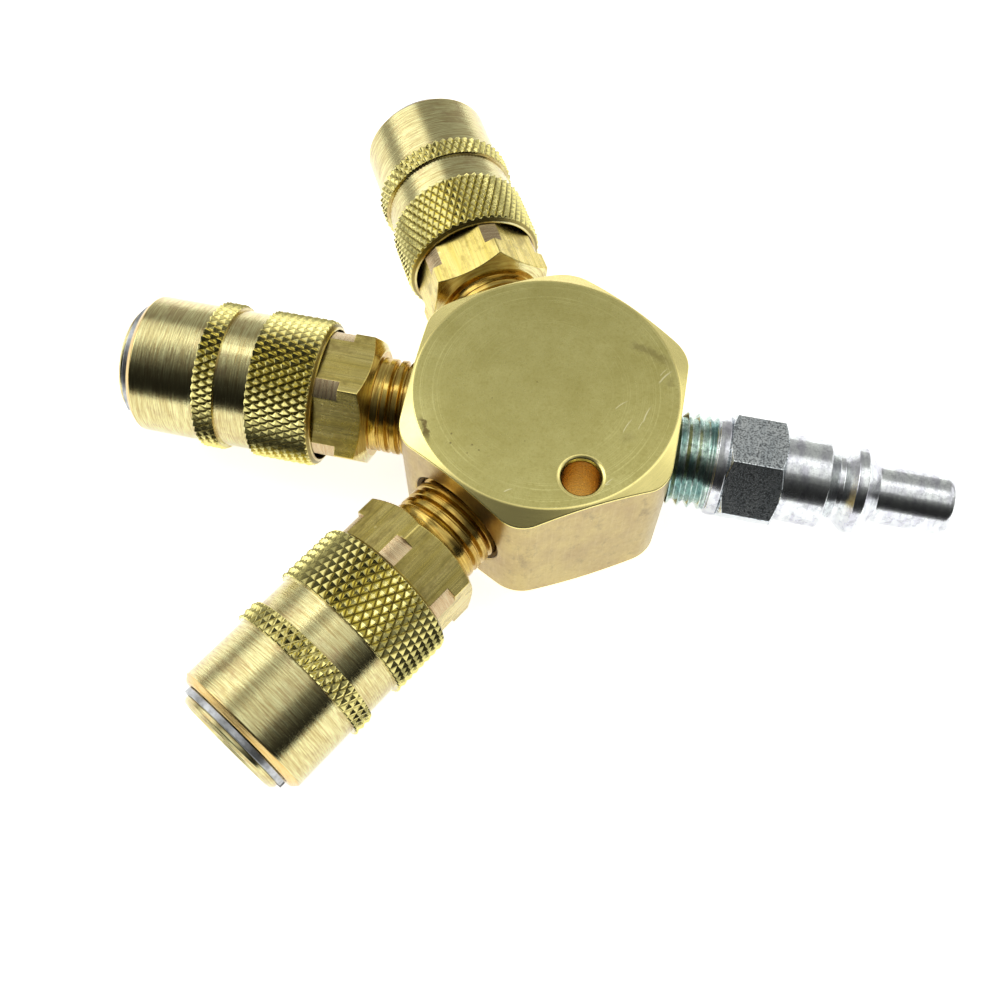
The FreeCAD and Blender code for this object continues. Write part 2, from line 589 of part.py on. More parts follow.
def poppet():
    """Valve poppet: slotted guide skirt, head, and a cross-slotted nose that the plug pushes."""
    skirt_back = POPPET_BACK - POPPET_SKIRT_LENGTH
    front = VALVE_SEAT + POPPET_NOSE_REACH
    solid = revolved([
        (skirt_back, 0),
        (skirt_back, POPPET_SKIRT_RADIUS),
        (POPPET_BACK, POPPET_SKIRT_RADIUS),
        (POPPET_BACK + POPPET_SKIRT_CHAMFER, POPPET_HEAD_RADIUS),
        (POPPET_FRONT, POPPET_HEAD_RADIUS),
        (POPPET_FRONT, POPPET_NOSE_RADIUS),
        (front - POPPET_NOSE_CHAMFER, POPPET_NOSE_RADIUS),
        (front, POPPET_NOSE_RADIUS - POPPET_NOSE_CHAMFER),
        (front, 0),
    ])
    hollow = rod(skirt_back, POPPET_BACK, POPPET_SKIRT_RADIUS - POPPET_SKIRT_WALL)
    cuts = [hollow]
    reach = 2 * CHAMBER_RADIUS
    for angle in (0, 90):
        slot = Part.makeBox(POPPET_SKIRT_LENGTH, reach, POPPET_SLOT_WIDTH)
        slot.translate(V(skirt_back, -reach / 2, -POPPET_SLOT_WIDTH / 2))
        slot.rotate(ORIGIN, X_AXIS, angle)
        cuts.append(slot)
        nose_slot = Part.makeBox(POPPET_NOSE_SLOT_DEPTH, reach, POPPET_NOSE_SLOT)
        nose_slot.translate(V(front - POPPET_NOSE_SLOT_DEPTH, -reach / 2, -POPPET_NOSE_SLOT / 2))
        nose_slot.rotate(ORIGIN, X_AXIS, angle)
        cuts.append(nose_slot)
    return solid.cut(cuts)


def poppet_seal():
    """Soft washer round the poppet's nose, which closes on the valve seat."""
    inner = POPPET_NOSE_RADIUS + POPPET_SEAL_GAP
    return revolved([
        (POPPET_FRONT, inner),
        (POPPET_FRONT, POPPET_SEAL_RADIUS),
        (VALVE_SEAT, POPPET_SEAL_RADIUS),
        (VALVE_SEAT, inner),
    ])


def plug_seal():
    """O-ring that closes on the tip of the plug."""
    return ring_of_wire(PLUG_SEAL_PLACE, PLUG_TIP_RADIUS - PLUG_SEAL_NIP + PLUG_SEAL_WIRE, PLUG_SEAL_WIRE)


def coupler(turn):
    """All the pieces of one quick coupler, by name."""
    pieces = {
        "adapter": adapter(turn),
        "sealant": sealant_bead(),
        "body_seal": body_seal(),
        "socket_body": socket_body(),
        "plug_seal": plug_seal(),
        "sleeve": sleeve(),
        "sleeve_spring": sleeve_spring(),
        "retaining_ring": retaining_ring(),
        "poppet": poppet(),
        "poppet_seal": poppet_seal(),
        "valve_spring": valve_spring(),
    }
    for number, angle in enumerate(ball_angles(), start=1):
        pieces["ball_%d" % number] = locking_ball(angle)
    return pieces


def main():
    os.makedirs("parts", exist_ok=True)
    nodes = {
        "manifold_block": manifold_block(),
        "inlet_plug": into_port(inlet_plug(), INLET_ANGLE),
        "inlet_sealant": into_port(sealant_bead(), INLET_ANGLE),
    }
    for name, outlet in OUTLETS.items():
        for piece, shape in coupler(outlet["hex_turn"]).items():
            nodes[name + "_" + piece] = into_port(shape, outlet["angle"])
    for node, shape in nodes.items():
        if not shape.isValid():
            raise ValueError(node + " is not a valid shape")
        shape.exportStep("parts/" + node + ".step")
        print("%-24s solids %d volume %9.2f" % (node, len(shape.Solids), shape.Volume))


main()
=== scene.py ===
"""Three-port air manifold: the visible surfaces, their finishes and the studio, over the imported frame.

Lengths in the functions are millimetres. A fitting is worked out along its own axis, with its place counted
outwards from the face of the block, and is then turned into its port.
"""

import math

import bmesh
import bpy
import numpy as np
from mathutils import Matrix


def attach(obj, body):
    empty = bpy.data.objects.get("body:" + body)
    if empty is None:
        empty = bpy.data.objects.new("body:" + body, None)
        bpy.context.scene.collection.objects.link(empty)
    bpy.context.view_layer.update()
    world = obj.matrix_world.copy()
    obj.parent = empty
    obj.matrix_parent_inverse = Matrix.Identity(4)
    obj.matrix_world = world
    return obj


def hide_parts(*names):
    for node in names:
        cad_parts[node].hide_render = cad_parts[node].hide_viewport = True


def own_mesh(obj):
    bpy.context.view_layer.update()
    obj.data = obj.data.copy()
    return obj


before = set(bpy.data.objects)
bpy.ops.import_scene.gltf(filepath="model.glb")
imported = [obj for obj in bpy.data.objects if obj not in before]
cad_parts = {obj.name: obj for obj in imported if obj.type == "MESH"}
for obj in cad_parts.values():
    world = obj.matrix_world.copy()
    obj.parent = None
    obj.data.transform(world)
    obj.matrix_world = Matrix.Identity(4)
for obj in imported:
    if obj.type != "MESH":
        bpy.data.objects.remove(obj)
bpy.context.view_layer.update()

bl_info = {
    "name": "Three-port air manifold",
    "version": (1, 0, 0),
    "blender": (4, 5, 0),
    "location": "3D View > Sidebar > Manifold",
    "description": "Surfaces and finishes of a brass air manifold with three quick couplers",
    "category": "Object",
}

MM = 0.001
SIDES = range(0, 360, 60)
PLAIN_SIDES = (60, 300)
PORTS = {"front": 240.0, "middle": 180.0, "rear": 120.0}
# How far each coupler's hexagon and thread are screwed round, and where its two knurls start: place and angle
HEX_TURN = {"front": 26.7, "middle": 3.6, "rear": 41.0}
THREAD_LAG = {"front": 0.0, "middle": 0.5, "rear": 0.3}
KNURL_PHASE = {"front": (20.08, 0.1), "middle": (17.0, 5.55), "rear": (19.3, 2.4)}
FINE_PHASE = {"front": (26.4, -0.25), "middle": (26.4, 3.1), "rear": (26.4, 1.2)}
FINE_SHARE = 0.955
COLUMNS_PER_GROOVE = 8
BALL_ANGLES = (45.0, 135.0, 225.0, 315.0)
BALL_PLACE, BALL_OUT, BALL_RADIUS = 33.0, 6.65, 1.25
WINDOW_START = 31.2
CHAMFER_SLANT = math.radians(27)
HEX_SLANT = math.radians(30)
# Points closer than this are one point: in a new skin, and in a copy of a solid from the frame
WELD_GAP, COPY_GAP = 0.0004, 0.001


# Shapes

def soften(outline, guard=1.2, steps=5):
    """Rounds the corners of a turned outline, given as (place, radius, rounding).

    A corner becomes a parabola that starts and ends at the rounding's distance from it. One more point lies
    just outside each end, at the guard's share of that distance, so that the flats beside it stay flat.
    """
    points = []
    for number, (place, radius, rounding) in enumerate(outline):
        corner = np.array([place, radius], float)
        if rounding <= 0 or number in (0, len(outline) - 1):
            points.append(corner[None])
            continue
        back = np.array(outline[number - 1][:2], float) - corner
        ahead = np.array(outline[number + 1][:2], float) - corner
        reach = min(rounding, 0.4 * np.hypot(*back), 0.4 * np.hypot(*ahead))
        back, ahead = back / np.hypot(*back), ahead / np.hypot(*ahead)
        t = np.linspace(0, 1, steps)[:, None]
        curve = corner + reach * ((1 - t) ** 2 * back + t ** 2 * ahead)
        points.append(np.vstack([corner + guard * reach * back, curve, corner + guard * reach * ahead]))
    return np.vstack(points)


def around(places, radii, angles):
    """Points about the axis: place along it, radius times cosine and sine of the angle across it."""
    places, radii, angles = np.broadcast_arrays(places, radii, np.radians(angles))
    return np.stack([places, radii * np.cos(angles), radii * np.sin(angles)], -1)


def turned(outline, angles):
    """A lathe surface: every point of the softened outline carried round the axis."""
    profile = soften(outline)
    return around(profile[:, :1], profile[:, 1:], angles[None])


def circles(rows, angles):
    """Turns (place, radius) rows into points about the axis."""
    return np.stack([around(place, radius, angles) for place, radius in rows])


def swung(out, side, along, angle):
    """Points turned by an angle: out and side swing round the third direction, which stays."""
    turn = math.radians(angle)
    out, side, along = np.broadcast_arrays(out, side, along)
    return np.stack([
        out * math.cos(turn) - side * math.sin(turn), out * math.sin(turn) + side * math.cos(turn), along,
    ], -1)


def hexagon(angles, flats, rounding, turn):
    """Distance from the axis to a hexagon's skin.

    Along a flat it is half the width across flats over the cosine of the angle from the flat's middle.
    In a corner it is where the ray meets the corner's small circle.
    """
    from_corner = np.radians((angles - turn + 30) % 60 - 30)
    flat = flats / 2 / np.cos(HEX_SLANT - np.abs(from_corner))
    centre = (flats / 2 - rounding) / math.cos(HEX_SLANT)
    edge = math.atan2(rounding / 2, centre + rounding * math.cos(HEX_SLANT))
    inside = np.maximum(rounding ** 2 - (centre * np.sin(from_corner)) ** 2, 0)
    corner = centre * np.cos(from_corner) + np.sqrt(inside)
    return np.where(np.abs(from_corner) < edge, corner, flat)


def hexagon_angles(turn, corner_width):
    """Angles round a hexagon, close together at its corners and at the edges of the turned patches."""
    half = [0, 0.25, 0.5, 0.75, 1.0, 3.2, 5.6, corner_width - 0.2, corner_width, corner_width + 0.25]
    half = np.array(half + [11.5, 14.5, 17.5, 20.5, 23.5, 26.5, 30])
    sector = np.concatenate([-half[::-1], half[1:-1]])
    return np.concatenate([turn + side + sector for side in SIDES])


def hexagon_rows(reach, start, face_radius, ease, forward=1):
    """Rows over a hexagon's end: its face, the 30-degree cone, and the curve where the cone meets the flats.

    The curve lies at the start plus the tangent of 30 degrees times how far the skin stands past the face.
    """
    slant = np.array([forward * math.sin(HEX_SLANT), math.cos(HEX_SLANT)])
    meet = start + forward * (reach - face_radius) * math.tan(HEX_SLANT)
    foot = soften([(0, -1, 0), (0, 0, ease), (*slant, 0)], guard=1.3, steps=4)[1:-1]
    brow = soften([(*-slant, 0), (0, 0, ease), (forward, 0, 0)], guard=1.3, steps=4)[1:-1]
    return [(start + x, face_radius + y) for x, y in foot] + [(meet + x, reach + y) for x, y in brow]


def opening_border(across, low, high, shares):
    """The border of a patch, walked round: along its top, down its far side, back along its foot, and up."""
    low, high = np.broadcast_to(low, across.shape), np.broadcast_to(high, across.shape)
    upright = low[-1] + shares * (high[-1] - low[-1])
    edges = (
        (across, high), (np.full_like(upright, across[-1]), upright[::-1]),
        (across[::-1], low[::-1]), (np.full_like(upright, across[0]), upright),
    )
    return np.concatenate([np.stack(edge, 1)[:-1] for edge in edges])


class Skin:
    """Collects strips of quads, each with its finish, into one closed skin, on the block or in a port."""

    def __init__(self, port=None):
        self.port, self.points, self.faces, self.zones, self.count = port, [], [], [], 0

    def strip(self, rows, zone=0, closed=True, shift=0, swap=None):
        """Joins each row of points to the next. A closed row meets its own start, shift rows further on.

        The rows may come in several parts. The zone may differ from face to face. Where swap is true, a quad
        is split along its other diagonal.
        """
        rows = np.concatenate(rows) if isinstance(rows, list) else rows
        height, width = rows.shape[:2]
        index = np.arange(height * width).reshape(height, width) + self.count
        if closed:
            wrap = np.minimum(np.arange(height) + shift, height - 1)
            index = np.concatenate([index, index[wrap, :1]], 1)
        a, b, c, d = index[:-1, :-1], index[:-1, 1:], index[1:, 1:], index[1:, :-1]
        zones = np.broadcast_to(zone, a.shape).ravel()
        if swap is None:
            quads = np.stack([a, b, c, d], -1).reshape(-1, 4)
        else:
            first = np.stack([a, b, c, a, c, d], -1)
            other = np.stack([a, b, d, b, c, d], -1)
            both = np.where(swap[..., None], other, first).reshape(-1, 3)
            quads = np.concatenate([both, both[:, 2:]], 1)
            zones = np.repeat(zones, 2)
        self.points.append(rows.reshape(-1, 3))
        self.faces.append(quads)
        self.zones.append(zones)
        self.count += height * width

    def piece(self, name, finishes, body, slot, node, bend=32.0):
        """Makes the object: closes the skin, points it outwards, shades it smooth, and settles it."""
        local = np.vstack(self.points)
        points = local
        if self.port is not None:
            points = swung(local[:, 0] + block_apothem(), local[:, 1], local[:, 2] + axis_height(), self.port)
        faces = np.vstack(self.faces)
        keep = np.ones(faces.shape, bool)
        keep[:, 3] = faces[:, 2] != faces[:, 3]
        corners = keep.sum(1)
        mesh = bpy.data.meshes.new(name)
        mesh.vertices.add(len(points))
        mesh.vertices.foreach_set("co", (points * MM).ravel())
        mesh.loops.add(int(corners.sum()))
        mesh.loops.foreach_set("vertex_index", faces[keep].astype(np.int32))
        mesh.polygons.add(len(faces))
        mesh.polygons.foreach_set("loop_start", (np.cumsum(corners) - corners).astype(np.int32))
        mesh.polygons.foreach_set("material_index", np.concatenate(self.zones).astype(np.int32))
        along = mesh.attributes.new("fitting", "FLOAT_VECTOR", "POINT")
        along.data.foreach_set("vector", local.ravel())
        mesh.update()
        for key in finishes:
            mesh.materials.append(finish(key))
        return settle(welded(name, mesh, bend, WELD_GAP), body, slot, node)


def welded(name, mesh, bend, gap):
    """Merges points closer than the gap, drops empty faces, turns the faces outwards and shades them."""
    work = bmesh.new()
    work.from_mesh(mesh)
    bmesh.ops.remove_doubles(work, verts=work.verts, dist=gap * MM)
    bmesh.ops.dissolve_degenerate(work, edges=work.edges, dist=gap * MM * 0.5)
    bmesh.ops.recalc_face_normals(work, faces=work.faces)
    work.to_mesh(mesh)
    work.free()
    mesh.polygons.foreach_set("use_smooth", np.ones(len(mesh.polygons), bool))
    mesh.set_sharp_from_angle(angle=math.radians(bend))
    piece = bpy.data.objects.new(name, mesh)
    bpy.context.scene.collection.objects.link(piece)
    return piece


def merged_copy(node, name, key, bend=32.0):
    """A smooth-shaded copy of a node of the frame, for a small or hidden piece whose shape is right."""
    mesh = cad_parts[node].data.copy()
    mesh.materials.clear()
    mesh.materials.append(finish(key))
    mesh.polygons.foreach_set("material_index", np.zeros(len(mesh.polygons), np.int32))
    return welded(name, mesh, bend, COPY_GAP)


def settle(piece, body, slot, *nodes):
    """Says which body the piece moves with and which nodes it stands for, which it hides. The slot is not
    used.
    """
    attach(piece, body)
    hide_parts(*nodes)
    return piece


def size(key):
    """One of the lengths that a user may change, in millimetres."""
    return getattr(bpy.context.scene.manifold_sizes, key) / MM


def block_apothem():
    return size("block_flats") / 2


def axis_height():
    return size("block_height") / 2


# Finishes

def srgb(code):
    """Linear colour from an sRGB hex value."""
    values = [int(code[n:n + 2], 16) / 255 for n in (1, 3, 5)]
    return tuple(v / 12.92 if v <= 0.04045 else ((v + 0.055) / 1.055) ** 2.4 for v in values) + (1.0,)


def put(tree, kind, inputs=(), out=0, **settings):
    """Adds a node and gives back one of its outputs. The kind may be followed by the node's operation.

    An input is linked if it is an output, and set otherwise. A text is a colour: a hex value, or one that a
    user may change.
    """
    kind, *operation = kind.split()
    node = tree.nodes.new("ShaderNode" + kind)
    if operation:
        node.operation = operation[0]
    for name, value in settings.items():
        setattr(node, name, value)
    for key, value in inputs.items() if isinstance(inputs, dict) else enumerate(inputs):
        if isinstance(value, bpy.types.NodeSocket):
            tree.links.new(value, node.inputs[key])
            continue
        if isinstance(value, str):
            value = srgb(value) if value[0] == "#" else getattr(bpy.context.scene.manifold_colours, value)
        node.inputs[key].default_value = value
    return node.outputs[out] if len(node.outputs) else node


class Finish:
    """A material in the making: its nodes, its place in millimetres, and the colour laid so far."""

    def __init__(self, name, base, own_axis=False):
        """The place is on the object, or along and across the fitting's own axis."""
        self.material = bpy.data.materials.new(name)
        self.material.use_nodes = True
        self.tree = self.material.node_tree
        self.tree.nodes.clear()
        self.skin = base
        if own_axis:
            self.place = self.put("Attribute", out="Vector", attribute_name="fitting")
        else:
            place = self.put("TexCoord", out="Object")
            self.place = self.put("VectorMath MULTIPLY", [place, (1 / MM, 1 / MM, 1 / MM)])

    def put(self, *node, **settings):
        return put(self.tree, *node, **settings)

    def marks(self, per_millimetre, detail, rough, place=None):
        """Noise with so many grains to the millimetre, one number or three: streaks where they differ."""
        scale = tuple(np.broadcast_to(per_millimetre, 3).tolist())
        stretched = self.put("VectorMath MULTIPLY", [place or self.place, scale])
        return self.put("TexNoise", {"Vector": stretched, "Scale": 1.0, "Detail": detail, "Roughness": rough})

    def rings(self, distance, per_millimetre, detail, rough):
        """Noise that changes with one distance only, as the feed of a lathe tool leaves it."""
        along = self.put("Math MULTIPLY", [distance, per_millimetre])
        noise = {"W": along, "Scale": 1.0, "Detail": detail, "Roughness": rough}
        return self.put("TexNoise", noise, noise_dimensions="1D")

    def axis_distance(self, kept):
        """Distance from an axis, and the place across it: kept is 0 along the axis and 1 elsewhere."""
        across = self.put("VectorMath MULTIPLY", [self.place, kept])
        return self.put("VectorMath LENGTH", [across], out="Value"), across

    def scratch(self, place, start, end, width):
        """1 on a slightly bowed scratch between two points of the upper face, 0 away from it."""
        x, y = end[0] - start[0], end[1] - start[1]
        length = math.hypot(x, y)
        own = {"Vector": place, "Location": (*start, 0), "Rotation": (0, 0, math.atan2(y, x))}
        moved = self.put("Mapping", own, vector_type="TEXTURE")
        along, across = (self.put("SeparateXYZ", [moved], out=index) for index in (0, 1))
        swing = self.put("Math SINE", [self.put("Math MULTIPLY", [along, math.pi / length])])
        off_bow = self.put("Math ABSOLUTE", [self.put("Math MULTIPLY_ADD", [swing, -0.05 * length, across])])
        on_line = self.put("MapRange", [off_bow, width, width * 0.3, 0.0, 1.0])
        ahead = self.put("MapRange", [along, 0.0, length * 0.15, 0.0, 1.0])
        behind = self.put("MapRange", [along, length, length * 0.6, 0.0, 1.0])
        return self.put("Math MULTIPLY", [on_line, self.put("Math MULTIPLY", [ahead, behind])])

    def cover(self, colour, pattern, low=0.0, high=1.0, most=1.0):
        """Lays a colour over the last: none where the pattern is low, the most where it is high."""
        share = self.put("MapRange", [pattern, low, high, 0.0, most])
        self.skin = self.put("Mix", {0: share, 6: self.skin, 7: colour}, out=2, data_type="RGBA")

    def done(self, bump, rough, metallic=1.0, specular=0.5):
        """Puts the shader on and gives back the material.

        The bump is its pattern, its strength and its depth in millimetres. The roughness is its pattern, the
        smoothest value, the dullest, and the pattern's span between them if it isn't that of a noise.
        """
        pattern, smooth, dull, *span = rough
        self.put("OutputMaterial", [self.put("BsdfPrincipled", {
            "Base Color": self.skin, "Metallic": metallic, "Specular IOR Level": specular,
            "Roughness": self.put("MapRange", [pattern, *(span or (0.3, 0.7)), smooth, dull]),
            "Normal": self.put("Bump", {"Height": bump[0], "Strength": bump[1], "Distance": bump[2] * MM}),
        })])
        return self.material


# Scratches on the block's upper face: start, end and half width
SCRATCHES = (
    ((13.9, 3.7), (15.45, 6.1), 0.13),
    ((13.9, 4.85), (14.8, 6.3), 0.06),
    ((10.5, -4.5), (11.5, -2.0), 0.08),
    ((12.8, -2.5), (13.5, 0.3), 0.1),
    ((12.3, -3.6), (13.1, -1.6), 0.05),
    ((9.0, -1.25), (10.6, 0.45), 0.07),
    ((8.9, -12.4), (10.2, -11.9), 0.07),
    ((9.6, -12.0), (10.4, -11.0), 0.07),
    ((-2.4, -15.6), (-1.4, -14.9), 0.09),
    ((8.2, -9.2), (8.7, -9.35), 0.16),
    ((3.75, -17.0), (4.4, -16.3), 0.14),
)

# Brown smears on the upper face: start, end, half width and strength
SMEARS = (
    ((9.2, 9.2), (15.9, 6.2), 0.85, 0.36),
    ((15.6, 3.4), (15.3, 5.2), 0.6, 0.25),
    ((10.4, -5.6), (12.4, -4.3), 0.9, 0.16),
    ((-14.7, -7.2), (-12.9, -11.1), 0.4, 0.8),
)

# Specks of pressed-in grit on the upper face: place and half width
SPECKS = (
    (-10.37, -8.92, 0.16), (-10.2, -10.24, 0.18), (-7.51, -9.94, 0.17), (-6.53, -10.51, 0.15),
    (-7.86, -11.2, 0.11), (-6.48, -2.76, 0.11), (-1.35, 0.78, 0.12), (-1.23, -8.08, 0.1), (7.95, -8.95, 0.2),
)


def faced_brass(name):
    """Leaded free-cutting brass bar, faced in a lathe.

    The tool leaves faint rings about the middle, in bumps and in pale lines of painted sheen; handling has
    dulled the cut surface to an even olive skin with a few scratches, specks of pressed-in grit and brown
    smudges at the rim.
    """
    f = Finish(name, "brass_olive")
    radius, flat = f.axis_distance((1, 1, 0))
    # A finishing feed is about 0.1 mm a turn, drawn here as lines 0.2 mm apart so that they show; their pale
    # colour is painted sheen
    feed = f.rings(radius, 5.0, 2.0, 0.6)
    cloud = f.marks(0.2, 6.0, 0.7)
    grain = f.marks(2.2, 5.0, 0.8)
    shown = f.put("MapRange", [f.marks((0.14, 0.14, 0.0), 2.0, 0.5), 0.36, 0.62, 0.2, 1.0])
    outwards = f.put("MapRange", [radius, 7.0, 16.0, 0.35, 1.5])
    shown = f.put("Math MULTIPLY", [shown, outwards])
    lines = f.put("Math SUBTRACT", [feed, 0.5])
    lines = f.put("Math MULTIPLY", [lines, shown])
    f.cover("brass_faced", cloud, 0.34, 0.66)
    # Pale feed rings: painted sheen on the tool marks, in patches and stronger towards the rim
    f.cover("#FBF3A6", lines, 0.02, 0.25, 0.5)
    f.cover("#A3964A", grain, 0.48, 0.7, 0.5)
    blur = f.marks((1.1, 1.1, 0.0), 4.0, 0.7)
    blur = f.put("VectorMath MULTIPLY_ADD", [blur, (1.6, 1.6, 0.0), (-0.8, -0.8, 0.0)])
    blur = f.put("VectorMath ADD", [blur, f.place])
    dirt = 0.0
    for start, end, width, strength in SMEARS:
        one = f.put("Math MULTIPLY", [f.scratch(blur, start, end, width), strength])
        dirt = f.put("Math MAXIMUM", [dirt, one])
    for x, y, width in SPECKS:
        away = f.put("VectorMath DISTANCE", [flat, (x, y, 0.0)], out="Value")
        one = f.put("MapRange", [away, width, 0.4 * width, 0.0, 0.75])
        dirt = f.put("Math MAXIMUM", [dirt, one])
    deep = 0.0
    for start, end, width in SCRATCHES:
        deep = f.put("Math MAXIMUM", [deep, f.scratch(f.place, start, end, width)])
    f.cover("#6B5634", dirt)
    f.cover("#FFF6C4", deep, most=0.9)
    slanted = f.put("Mapping", {"Vector": f.place, "Rotation": (0, 0, math.radians(38))})
    hairs = f.put("MapRange", [f.marks((0.12, 7.0, 1.0), 2.0, 0.5, slanted), 0.66, 0.76, 0.0, 1.0])
    height = f.put("Math MULTIPLY_ADD", [lines, 1.6, grain])
    height = f.put("Math MULTIPLY_ADD", [hairs, -0.3, height])
    height = f.put("Math MULTIPLY_ADD", [deep, -1.5, height])
    return f.done((height, 0.28, 0.01), (grain, 0.25, 0.34))


def chamfer_brass(name):
    """The same bar where a form tool cut its chamfers: brighter and smoother than the face."""
    f = Finish(name, "#F9EA9A")
    feed = f.rings(f.put("SeparateXYZ", [f.place], out=2), 6.0, 4.0, 0.7)
    cloud = f.marks(0.22, 5.0, 0.65)
    grain = f.marks(2.2, 4.0, 0.7)
    f.cover("brass_bright", cloud, 0.4, 0.75, 0.8)
    f.cover("#8F8443", grain, 0.6, 0.8, 0.4)
    height = f.put("Math MULTIPLY_ADD", [grain, 0.6, feed])
    return f.done((height, 0.4, 0.01), (cloud, 0.2, 0.28))


def drawn_side_brass(name):
    """The bar's skin as it left the drawing die: satin tan, pinkish in places, with stains and die lines."""
    f = Finish(name, "brass_side")
    # Die lines are about 0.05 mm apart, drawn 0.3 mm apart so that they show
    lines = f.marks((3.4, 3.4, 0.12), 4.0, 0.65)
    stain = f.marks((0.16, 0.16, 0.13), 5.0, 0.62)
    smear = f.marks((0.5, 0.5, 0.28), 5.0, 0.72)
    grain = f.marks((1.6, 1.6, 1.3), 5.0, 0.78)
    f.cover("#C8B476", stain, 0.36, 0.64)
    f.cover("#D4C490", lines, 0.5, 0.72, 0.3)
    f.cover("#A88C58", grain, 0.5, 0.7, 0.4)
    f.cover("#8C7A58", smear, 0.56, 0.74, 0.7)
    height = f.put("Math MULTIPLY_ADD", [grain, 0.9, lines])
    return f.done((height, 0.5, 0.02), (grain, 0.26, 0.38))


def drilled_brass(name):
    """Drilled brass: bright and warm, because it mostly mirrors itself, with the drill's spiral marks."""
    f = Finish(name, "brass_bore")
    spiral = f.marks((0.35, 0.35, 2.2), 4.0, 0.6)
    f.cover("#DFBF78", spiral, 0.35, 0.7, 0.6)
    return f.done((spiral, 0.05, 0.02), (spiral, 0.2, 0.32))


def drawn_hexagon_brass(name):
    """Hexagon bar as drawn: olive tarnish with die lines, smudges, and nicks from the bar feed."""
    f = Finish(name, "#D4C068", True)
    # Die lines, drawn about 0.25 mm apart so that they show
    lines = f.marks((0.07, 4.2, 4.2), 5.0, 0.7)
    broad = f.marks((0.05, 0.8, 0.8), 3.0, 0.6)
    smudge = f.marks((0.28, 0.4, 0.4), 6.0, 0.68)
    cells = {"Vector": f.place, "Scale": 0.5, "Randomness": 1.0}
    green = f.put("SeparateColor", [f.put("TexVoronoi", cells, out="Color")], out=1)
    picked = f.put("MapRange", [green, 0.72, 0.74, 0.0, 1.0])
    nick = f.put("MapRange", [f.put("TexVoronoi", cells, out="Distance"), 0.14, 0.05, 0.0, 1.0])
    nick = f.put("Math MULTIPLY", [nick, picked])
    f.cover("#E6D486", broad, 0.36, 0.64)
    f.cover("#8F864A", lines, 0.48, 0.66, 0.5)
    f.cover("#84703A", smudge, 0.5, 0.66, 0.65)
    f.cover("#F6E8A8", nick, most=0.6)
    height = f.put("Math MULTIPLY_ADD", [broad, 1.2, lines])
    height = f.put("Math MULTIPLY_ADD", [nick, -1.2, height])
    return f.done((height, 0.5, 0.02), (smudge, 0.2, 0.34))


def lathe_brass(name, low, high, dull, roughness, per_millimetre, strength):
    """Brass turned on an automatic lathe: brushed-looking rings round the axis, some brighter than others."""
    f = Finish(name, low, True)
    feed = f.rings(f.put("SeparateXYZ", [f.place]), per_millimetre, 8.0, 0.8)
    streaks = f.marks((per_millimetre * 1.7, 0.3, 0.3), 4.0, 0.7)
    f.cover(high, streaks, 0.36, 0.64)
    f.cover(dull, f.marks(0.25, 4.0, 0.6), 0.5, 0.72, 0.6)
    height = f.put("Math MULTIPLY_ADD", [streaks, 0.9, feed])
    rough = (streaks, roughness - 0.05, roughness + 0.06)
    return f.done((height, strength, 0.02), rough)


def knurled_brass(name):
    """Rolled diamond knurl: burnished facets that flash one by one, darker and browner deep in the crossings.
    """
    f = Finish(name, "brass_bright", True)
    radius = f.axis_distance((0, 1, 1))[0]
    crest, depth = size("knurl_radius"), size("knurl_depth")
    fine = f.marks(4.0, 4.0, 0.7)
    level = f.put("Math MULTIPLY_ADD", [f.marks(1.1, 4.0, 0.65), 0.3 * depth, radius])
    # Darker and browner the deeper the skin lies in the knurl's crossings
    low = f.put("MapRange", [level, crest - 0.86 * depth, crest - 0.5 * depth, 0.75, 0.0])
    f.cover("brass_faced", fine, 0.38, 0.62)
    f.cover("#5A4618", low)
    return f.done((fine, 0.6, 0.03), (low, 0.18, 0.34, 0.0, 1.0))


def zinc_plate(name, light, dark, roughness, grain_size, strength, speckle):
    """Steel, zinc-plated and blue-passivated: cool grey crystals, with a thin teal or rosy tint."""
    f = Finish(name, light, True)
    grain = f.marks(1 / grain_size, 5.0, 0.75)
    f.cover(dark, f.marks((0.7, 0.22, 0.22), 4.0, 0.6), 0.4, 0.62)
    f.cover("#484D52", grain, 0.47, 0.58, speckle)
    return f.done((grain, strength, 0.1), (grain, roughness, roughness + 0.12))


def hard_steel(name, code, roughness, per_millimetre):
    """Hardened steel: bright drawn wire with a faint grain, or a lapped ball with next to none."""
    f = Finish(name, code)
    grain = f.marks(per_millimetre, 4.0, 0.65)
    f.cover("#6A6C6F", grain, 0.4, 0.7, 0.6)
    return f.done((grain, 0.2, 0.01), (grain, roughness, roughness + 0.08))


def nitrile_rubber(name):
    """Moulded nitrile rubber: black and matt, with the fine pebble of the mould and a dusty bloom."""
    f = Finish(name, "#191919")
    grain = f.marks(3.5, 4.0, 0.65)
    f.cover("#343332", grain, 0.35, 0.7)
    return f.done((grain, 0.35, 0.01), (grain, 0.5, 0.68), metallic=0.0)


def thread_sealant(name):
    """Cured thread sealant, squeezed out: near black at its edge, dark sealant with painted gap shade; a tan
    film further in.
    """
    # Near black at the bead's outer edge: dark sealant with painted shade of the gap at the countersink's
    # mouth
    f = Finish(name, "#17130B", True)
    radius = f.axis_distance((0, 1, 1))[0]
    lumps = f.marks(1.2, 5.0, 0.65)
    f.cover("#3C3826", lumps, 0.42, 0.66)
    f.cover("#9A8050", radius, 7.08, 7.0)
    return f.done((lumps, 0.6, 0.04), (lumps, 0.45, 0.7), metallic=0.0, specular=0.12)


